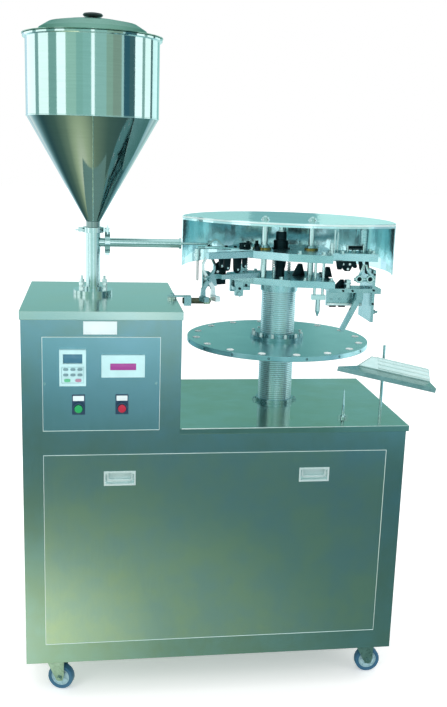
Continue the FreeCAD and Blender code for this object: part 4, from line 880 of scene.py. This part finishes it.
# Coil springs on guide rods between the plates
for i, (x, y) in enumerate(((176, -34), (112, 70), (246, 78))):
    guide = rod(bmesh.new(), (x, y, LOWER_TOP), (x, y, LOWER_TOP + 34), 3.0, 14)
    formed("spring_rod_%d" % (i + 1), guide, "turned_steel")
    spring = grow("plate_spring_%d" % (i + 1), coil, upward(LOWER_TOP + 1.2, (x, y)),
                  lengths(coil_radius=5.4, wire_radius=1.1, height=57.5, turns=11, steps=14),
                  "turned_steel")
    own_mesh(spring)

# Horizontal return spring on the right arm, between two studs
grow("return_spring", coil, [((388, -62, 1280), ALONG)],
     lengths(coil_radius=5.2, wire_radius=1.3, height=40.0, turns=12, steps=14), "black_steel",
     "press")
studs = bmesh.new()
for x in (384, 432):
    rod(studs, (x, -62, UPPER_TOP), (x, -62, 1289), 3.4)
rod(studs, (384, -62, 1280), (432, -62, 1280), 1.4, 8, 0.3)
for x, y, top, radius, steps in ((338, -90, 1334, 2.4, 12), (322, -122, 1300, 4.2, 16),
                                 (352, -70, 1326, 2.0, 12)):
    rod(studs, (x, y, UPPER_TOP), (x, y, top), radius, steps)
formed("arm_studs", studs, "turned_steel", "press")

bolts("upper_plate_bolts",
      upward(UPPER_TOP + 1, (325, -92), (360, -98), (455, -84), (455, -48), (410, -40), (110, -30),
             (232, -116), (296, -136), (92, 10), (128, 100), (285, 110), (322, 60)),
      6.4, 7.0, 8.4, "turned_steel", "press")
bolts("lower_plate_bolts",
      upward(LOWER_TOP + 1, (196, -50), (262, -66), (338, -74), (340, 60), (112, 30), (90, 84),
             (150, 120), (290, 120)),
      5.6, 6.0, 7.6, "turned_steel")

# ---------------------------------------------------------------- cover and fittings of the plates

# Folded edge of the cover, rounded over, in a near-white finish that paints its highlight
ARC = (308.5, 312.5)
ARC_RADIUS = 448
ARC_STEPS = 96
COVER_EDGE = 1348
section = ((-0.6, 3.0), (0.8, 2.8), (1.7, 1.9), (2.0, 0), (1.7, -1.9), (0.8, -2.8), (-0.6, -3.0))
edge_rings = []
for i in range(ARC_STEPS + 1):
    t = math.radians(-150.3 + 88.0 * i / ARC_STEPS)
    edge_rings.append([at(ARC[0] + (ARC_RADIUS + a) * math.cos(t),
                          ARC[1] + (ARC_RADIUS + a) * math.sin(t), COVER_EDGE + b)
                       for a, b in section])
formed("cover_edge", skinned(bmesh.new(), edge_rings), "painted_highlight_edge")

# Stop wedges on the lower plate
wedges = bmesh.new()
for x, y, wide, high in ((266, 44, 19, 35.5), (346, 20, 17, 30)):
    slab(wedges, [(-wide, 0), (wide, 0), (wide * 0.5, high), (-wide * 0.1, high)], 12,
         aimed(x, y, LOWER_TOP, FRONT), 0.8)
formed("stop_wedges", wedges, "black_steel")

# Bent link and its flat bar on the left of the upper plate
link = bmesh.new()
path = [(-16, 22, 1268), (4, 16, 1288), (10, 15, 1290), (16, 14, 1288), (36, 8, 1268)]
for one, two in zip(path, path[1:]):
    rod(link, one, two, 2.6, 12, 0.8)
formed("bent_link", link, "turned_steel", "press")
bar = slab(bmesh.new(), [(-50, -8), (50, -8), (50, 8), (-50, 8)], 7,
           aimed(30, 10, 1262, spin=-17), 1.0)
formed("link_bar", bar, "milled_aluminium", "press")
screws("link_bolts", upward(1269, (-10, 22), (40, 7), (66, -1)), 4.6, 4.6, 2.2, "black_steel",
       "press")

# Fittings on the left of the upper plate
fittings = bmesh.new()
for x, y, high in ((84, -20, 16), (104, 4, 22), (122, -56, 14), (136, 40, 20)):
    turned(fittings, [(0, 0), (7.5, 0), (7.5, high * 0.5), (5, high * 0.55), (5, high), (0, high)],
           aimed(x, y, UPPER_TOP), 20)
block(fittings, 98, 34, UPPER_TOP + 7, (30, 10, 14), UP, 24, 1.0)
formed("dark_fittings", fittings, "black_steel", "press")

# ---------------------------------------------------------------- beside the tongs

BAR_BEARING = math.radians(204)
BAR_SIDE = (math.cos(math.radians(294)), math.sin(math.radians(294)), 0)
BAR_TURN = 24
LUG_TOP = 1246.2


def beside_bar(reach, aside):
    """A place along the tongs' bracket, from the column, and to its front side, in cabinet mm."""
    return (COLUMN[0] + reach * math.cos(BAR_BEARING) + aside * BAR_SIDE[0],
            COLUMN[1] + reach * math.sin(BAR_BEARING) + aside * BAR_SIDE[1])


# Blackened lugs that hang under the upper plate's left bar and push the tongs
lugs = bmesh.new()
pins = bmesh.new()
for reach, wide, high in ((138, 6, 24), (163, 11, 33), (197, 9, 27), (217, 5, 20)):
    eye = [(wide * math.cos(t), -high + wide * math.sin(t))
           for t in [math.radians(180 + 30 * i) for i in range(7)]]
    slab(lugs, [(-wide - 2, 0)] + eye + [(wide + 2, 0)], 8,
         aimed(*beside_bar(reach, 13), LUG_TOP, BAR_SIDE, BAR_TURN), 0.8)
    rod(pins, (*beside_bar(reach, 20), LUG_TOP - 0.2 - high),
        (*beside_bar(reach, 24), LUG_TOP - 0.2 - high), 3.4)
formed("press_lugs", lugs, "black_steel", "press")
formed("press_lug_pins", pins, "turned_steel", "press")

# Blackened plate behind the tongs, on the rear of their bracket, with screws from both sides
BACKPLATE_THICK = 5
BACKPLATE_ASIDE = -24.9
backplate = slab(bmesh.new(), [(-24, 0), (24, 0), (22, 26), (25, 44), (16, 62), (2, 68),
                               (-12, 60), (-20, 40)], BACKPLATE_THICK,
                 aimed(*beside_bar(200, BACKPLATE_ASIDE), 1166, BAR_SIDE, BAR_TURN), 0.8)
formed("tong_backplate", backplate, "black_steel")
heads = [((*beside_bar(reach, BACKPLATE_ASIDE + BACKPLATE_THICK / 2 * (1 + side)), level),
          tuple(side * s for s in BAR_SIDE))
         for reach, level, side in ((214, 1175, -1), (188, 1175, -1), (206, 1204, 1),
                                    (192, 1218, 1))]
# These screws' near-white finish paints their highlights
screws("tong_backplate_screws", heads, 3.6, 3.4, 1.6, "painted_highlight_sheet")

# ---------------------------------------------------------------- right side of the head

# Twin ring bolts with their toggle links in front of the side plate
SIDE_FACE = -86
TOGGLE_FACE = -94.5
RING_LEVEL = 1194
toggles = bmesh.new()
block(toggles, 432, -90.5, 1192, (62, 10, 8), FRONT, soften=1.0)
eyes = bmesh.new()
for x, lean in ((414, 12), (446, -14)):
    turned(toggles, [(6.0, 0), (11.2, 0), (11.2, 6), (10.2, 7.2), (7.2, 7.2), (6.0, 6)],
           aimed(x, TOGGLE_FACE, RING_LEVEL, FRONT), 36, hollow=True)
    slab(toggles, [(-4, 0), (4, 0), (3.4 + lean, 34), (-3.4 + lean, 34)], 4,
         aimed(x, TOGGLE_FACE, RING_LEVEL + 8, FRONT), 0.8)
    turned(eyes, [(0, 0), (6.2, 0), (6.2, 4.6), (0, 5.2)],
           aimed(x, TOGGLE_FACE, RING_LEVEL, FRONT), 24)
formed("toggle_links", toggles, "turned_steel")
formed("ring_bolt_eyes", eyes, "black_steel")
screws("side_plate_bolts",
       frontward(SIDE_FACE, (463, 1206), (463, 1160), (463, 1120), (400, 1158), (372, 1158)),
       3.0, 4.0, 1.8, "black_steel")

# Punch carrier: its screws, the bright ledge in front, whose near-white finish paints its
# highlight, and the pads below
screws("carrier_bolts", frontward(-40, (350, 1126), (376, 1126), (402, 1126)), 3.4, 3.0, 1.6,
       "milled_steel")
ledge = block(bmesh.new(), 390, -42.9, 1111, (106, 6, 7), soften=0.8)
formed("carrier_ledge", ledge, "painted_highlight_sheet")
pads = bmesh.new()
for x in (356, 384):
    block(pads, x, -35, 1104.5, (20, 10, 5), soften=0.8)
formed("carrier_pads", pads, "black_rubber")
bolts("hanger_nuts", upward(1165, (388, -70)) + upward(1178, (388, -70)), 9.5, 9.0, 11.5,
      "turned_steel")
gusset = slab(bmesh.new(), [(0, 0), (34, 0), (30, 22), (20, 22)], 8,
              aimed(352, -46, LOWER_PLATE, FRONT), 0.8)
formed("side_gusset", gusset, "black_steel")

# Blackened links and lugs that hang under the upper plate's right arm
LINK_TOP = UPPER_PLATE + 0.2
hanging = bmesh.new()
for x, y, lean, low in ((404, -62, 4, 16), (424, -56, 7, 24), (446, -52, 3, 34)):
    eye = [(lean + 7 * math.sin(t), -low - 7 * math.cos(t))
           for t in [math.radians(-75 + 30 * i) for i in range(6)]]
    slab(hanging, [(-5, 0)] + eye + [(5, 0)], 7, aimed(x, y, LINK_TOP, FRONT), 0.8)
slab(hanging, [(-24, 0), (24, 0), (20, -13), (11, -31), (-3, -31), (-15, -17)], 16,
     aimed(381, -58, LINK_TOP, FRONT), 1.0)
slab(hanging, [(-11, 0), (11, 0), (6, -24), (-6, -24)], 9, aimed(356, -84, LINK_TOP, FRONT), 1.0)
formed("press_links", hanging, "black_steel", "press")
# These screws' near-white finish paints their highlights
screws("press_link_screws", frontward(-74, (370, 1234), (390, 1234), (385, 1220)), 3.4, 3.0, 1.4,
       "painted_highlight_sheet", "press")

# ---------------------------------------------------------------- left corner and back panel

# Fold cam of the second closing station, on the lower plate's left corner, and the anvils' screws
CAM = (92, LOWER_PLATE + 37)
cam = turned(bmesh.new(), [(0, 0), (16.5, 0), (16.5, 8), (0, 8)], aimed(CAM[0], 40, CAM[1], FRONT),
             36)
formed("fold_cam", cam, "milled_steel")
cam_spots = [(CAM[0] + 10 * math.cos(t), CAM[1] + 10 * math.sin(t)) for t in (0.6, 2.2, 3.8, 5.4)]
screws("fold_cam_screws", frontward(32, *cam_spots), 2.6, 2.6, 1.2, "black_steel")
anvil_screws = [((90, 42, 1142), FRONT), ((84, 90, 1145), FRONT), ((112, 60, 1150), FRONT)]
screws("anvil_screws", anvil_screws, 4.0, 4.0, 1.8, "black_steel")

BACK_FACE = 262
back_spots = [(x, z) for x in (-435, -217, 0, 217, 435) for z in (193, 667)]
back_spots += [(x, z) for z in (350, 510) for x in (-435, 435)]
screws("back_panel_screws", [((x, BACK_FACE, z), (0, 1, 0)) for x, z in back_spots], 4.2, 2.4, 1.1,
       "turned_steel")

# ---------------------------------------------------------------- camera, floor and light

scene = bpy.context.scene

CAMERA_AT = (-345.53, -2604.52, 1551.29)
CAMERA_YAW = 0.1474
CAMERA_DIP = 0.2235
CAMERA_ROLL = 0.0318
camera = bpy.data.cameras.new("camera")
camera.lens = 46.15
camera.sensor_width = 36
camera.clip_end = 60
holder = bpy.data.objects.new("camera", camera)
scene.collection.objects.link(holder)
forward = Vector((math.sin(CAMERA_YAW) * math.cos(CAMERA_DIP),
                  math.cos(CAMERA_YAW) * math.cos(CAMERA_DIP), -math.sin(CAMERA_DIP)))
level = Vector((math.cos(CAMERA_YAW), -math.sin(CAMERA_YAW), 0))
upright = level.cross(forward)
right = level * math.cos(CAMERA_ROLL) + upright * math.sin(CAMERA_ROLL)
up = upright * math.cos(CAMERA_ROLL) - level * math.sin(CAMERA_ROLL)
turn = Matrix((right, up, -forward)).transposed().to_4x4()
holder.matrix_world = Matrix.Translation(at(*CAMERA_AT)) @ turn
scene.camera = holder

scene.view_settings.view_transform = "Standard"

# What polished metal mirrors is a workshop with tall windows. Each band starts at its bearing, from
# the front (0) to the left (0.25), the back (0.5), the right (0.75) and the front again.
BANDS = ((0.000, "#f6ffff"), (0.007, "#86aea8"), (0.045, "#80a8a0"), (0.078, "#94b6aa"),
         (0.127, "#f6ffff"), (0.173, "#789c96"), (0.222, "#f0fcfa"), (0.289, "#7c9c9a"),
         (0.313, "#f6ffff"), (0.407, "#b4c9d6"), (0.450, "#84b0ae"), (0.527, "#5f8f90"),
         (0.539, "#9cc6c2"), (0.560, "#80adab"), (0.593, "#d9f2f3"), (0.655, "#4d6a6c"),
         (0.675, "#eefcfa"), (0.721, "#84a09c"), (0.741, "#f6ffff"), (0.787, "#3f5d62"),
         (0.820, "#2f5562"), (0.850, "#9fbcbc"), (0.862, "#7f9184"), (0.905, "#86a092"),
         (0.936, "#8db0aa"), (0.990, "#f6ffff"))


def bands(tree, way):
    """A node with the colour of the window band seen along a direction."""
    parts = add(tree, "ShaderNodeSeparateXYZ", inputs={0: way})
    bearing = add(tree, "ShaderNodeMath", {"operation": "ARCTAN2"}, {
        0: parts.outputs["X"], 1: parts.outputs["Y"]})
    share = add(tree, "ShaderNodeMapRange", inputs={
        "Value": bearing, "From Min": -math.pi, "From Max": math.pi})
    return ramped(tree, share, BANDS, "CONSTANT")


def ramped(tree, value, stops, blend="LINEAR"):
    """A node whose colour follows a value through a list of stops."""
    shown = add(tree, "ShaderNodeValToRGB", inputs={0: value})
    shown.color_ramp.interpolation = blend
    for i, (spot, code) in enumerate(stops):
        stop = shown.color_ramp.elements[i] if i < 2 else shown.color_ramp.elements.new(spot)
        stop.position = spot
        stop.color = linear(code)
    return shown


# The floor is white. In the metal it shows as an olive workshop floor, which is darker a few steps
# away and mirrors the windows further off.
NEAR_FLOOR = ((0.0, "#fbfbe0"), (0.04, "#cfdab4"), (0.10, "#8a9f88"), (0.20, "#5b786e"),
              (0.38, "#3f6063"), (0.52, "#4a797d"), (0.72, "#76b4c2"), (1.0, "#e2fafc"))
LIT_SPOT = (-0.95, -0.6, 0)
GLOW = 1.6
material = bpy.data.materials.new("pale_floor")
material.use_nodes = True
tree = material.node_tree
tree.nodes.clear()
place = add(tree, "ShaderNodeTexCoord").outputs["Object"]
away = add(tree, "ShaderNodeVectorMath", {"operation": "DISTANCE"}, {0: place, 1: LIT_SPOT})
reach = add(tree, "ShaderNodeMapRange", inputs={
    "Value": away.outputs["Value"], "From Min": 0.2, "From Max": 6.2})
near = ramped(tree, reach, NEAR_FLOOR)
far = add(tree, "ShaderNodeMapRange", inputs={
    "Value": away.outputs["Value"], "From Min": 2.8, "From Max": 6.8, "To Max": 0.65})
mirrored = add(tree, "ShaderNodeMix", {"data_type": "RGBA"}, {
    0: far, 6: near, 7: bands(tree, place)})
seen_in_metal = add(tree, "ShaderNodeEmission", inputs={
    "Color": mirrored.outputs[2], "Strength": GLOW})
matt = add(tree, "ShaderNodeBsdfDiffuse", inputs={"Color": linear("#ffffff")})
bloom = add(tree, "ShaderNodeEmission", inputs={"Color": linear("#ffffff"), "Strength": 0.3})
plain = add(tree, "ShaderNodeAddShader", inputs={0: matt, 1: bloom})
path = add(tree, "ShaderNodeLightPath")
chosen = add(tree, "ShaderNodeMixShader", inputs={
    0: path.outputs["Is Glossy Ray"], 1: plain, 2: seen_in_metal})
add(tree, "ShaderNodeOutputMaterial", inputs={0: chosen})
floor_mesh = bpy.data.meshes.new("floor")
floor_mesh.from_pydata([(-30, -30, 0), (30, -30, 0), (30, 30, 0), (-30, 30, 0)], [],
                       [(0, 1, 2, 3)])
floor_mesh.materials.append(material)
floor = bpy.data.objects.new("floor", floor_mesh)
scene.collection.objects.link(floor)

# The room is plain white, apart from what the metal mirrors: the windows, and a dull ceiling
world = bpy.data.worlds.new("studio")
scene.world = world
world.use_nodes = True
tree = world.node_tree
tree.nodes.clear()
ray = add(tree, "ShaderNodeTexCoord").outputs["Generated"]
height = add(tree, "ShaderNodeSeparateXYZ", inputs={0: ray})
lower_behind = add(tree, "ShaderNodeMath", {"operation": "MULTIPLY_ADD"}, {
    0: height.outputs["Y"], 1: 0.12, 2: height.outputs["Z"]})
ceiling = add(tree, "ShaderNodeMapRange", inputs={
    "Value": lower_behind, "From Min": 0.25, "From Max": 0.36})
roof = ramped(tree, height.outputs["Z"], ((0.0, "#62908a"), (0.42, "#62908a"), (0.9, "#b6cfce")))
overhead = add(tree, "ShaderNodeMix", {"data_type": "RGBA"}, {
    0: ceiling, 6: bands(tree, ray), 7: roof})
path = add(tree, "ShaderNodeLightPath")
seen = add(tree, "ShaderNodeMix", {"data_type": "RGBA"}, {
    0: path.outputs["Is Glossy Ray"], 6: linear("#ffffff"), 7: overhead.outputs[2]})
power = add(tree, "ShaderNodeMapRange", inputs={
    "Value": path.outputs["Is Glossy Ray"], "To Min": 1.0, "To Max": GLOW})
room = add(tree, "ShaderNodeBackground", inputs={
    "Color": seen.outputs[2], "Strength": power})
add(tree, "ShaderNodeOutputWorld", inputs={0: room})


def lamp(name, power, size, place):
    """A soft rectangular light that looks at the machine's middle, in metres."""
    light = bpy.data.lights.new(name, "AREA")
    light.energy = power
    light.shape = "RECTANGLE"
    light.size, light.size_y = size
    body = bpy.data.objects.new(name, light)
    scene.collection.objects.link(body)
    body.location = place
    body.rotation_euler = (Vector((0, 0, 0.9)) - Vector(place)).to_track_quat("-Z", "Y").to_euler()
    body.visible_glossy = False


lamp("window_light", 30, (1.6, 2.2), (-3.0, -3.2, 3.2))
lamp("fill_light", 14, (2.0, 2.0), (3.4, -2.4, 2.4))
lamp("top_light", 16, (3.0, 3.0), (0, 0.5, 4.5))

low, high = cad_box
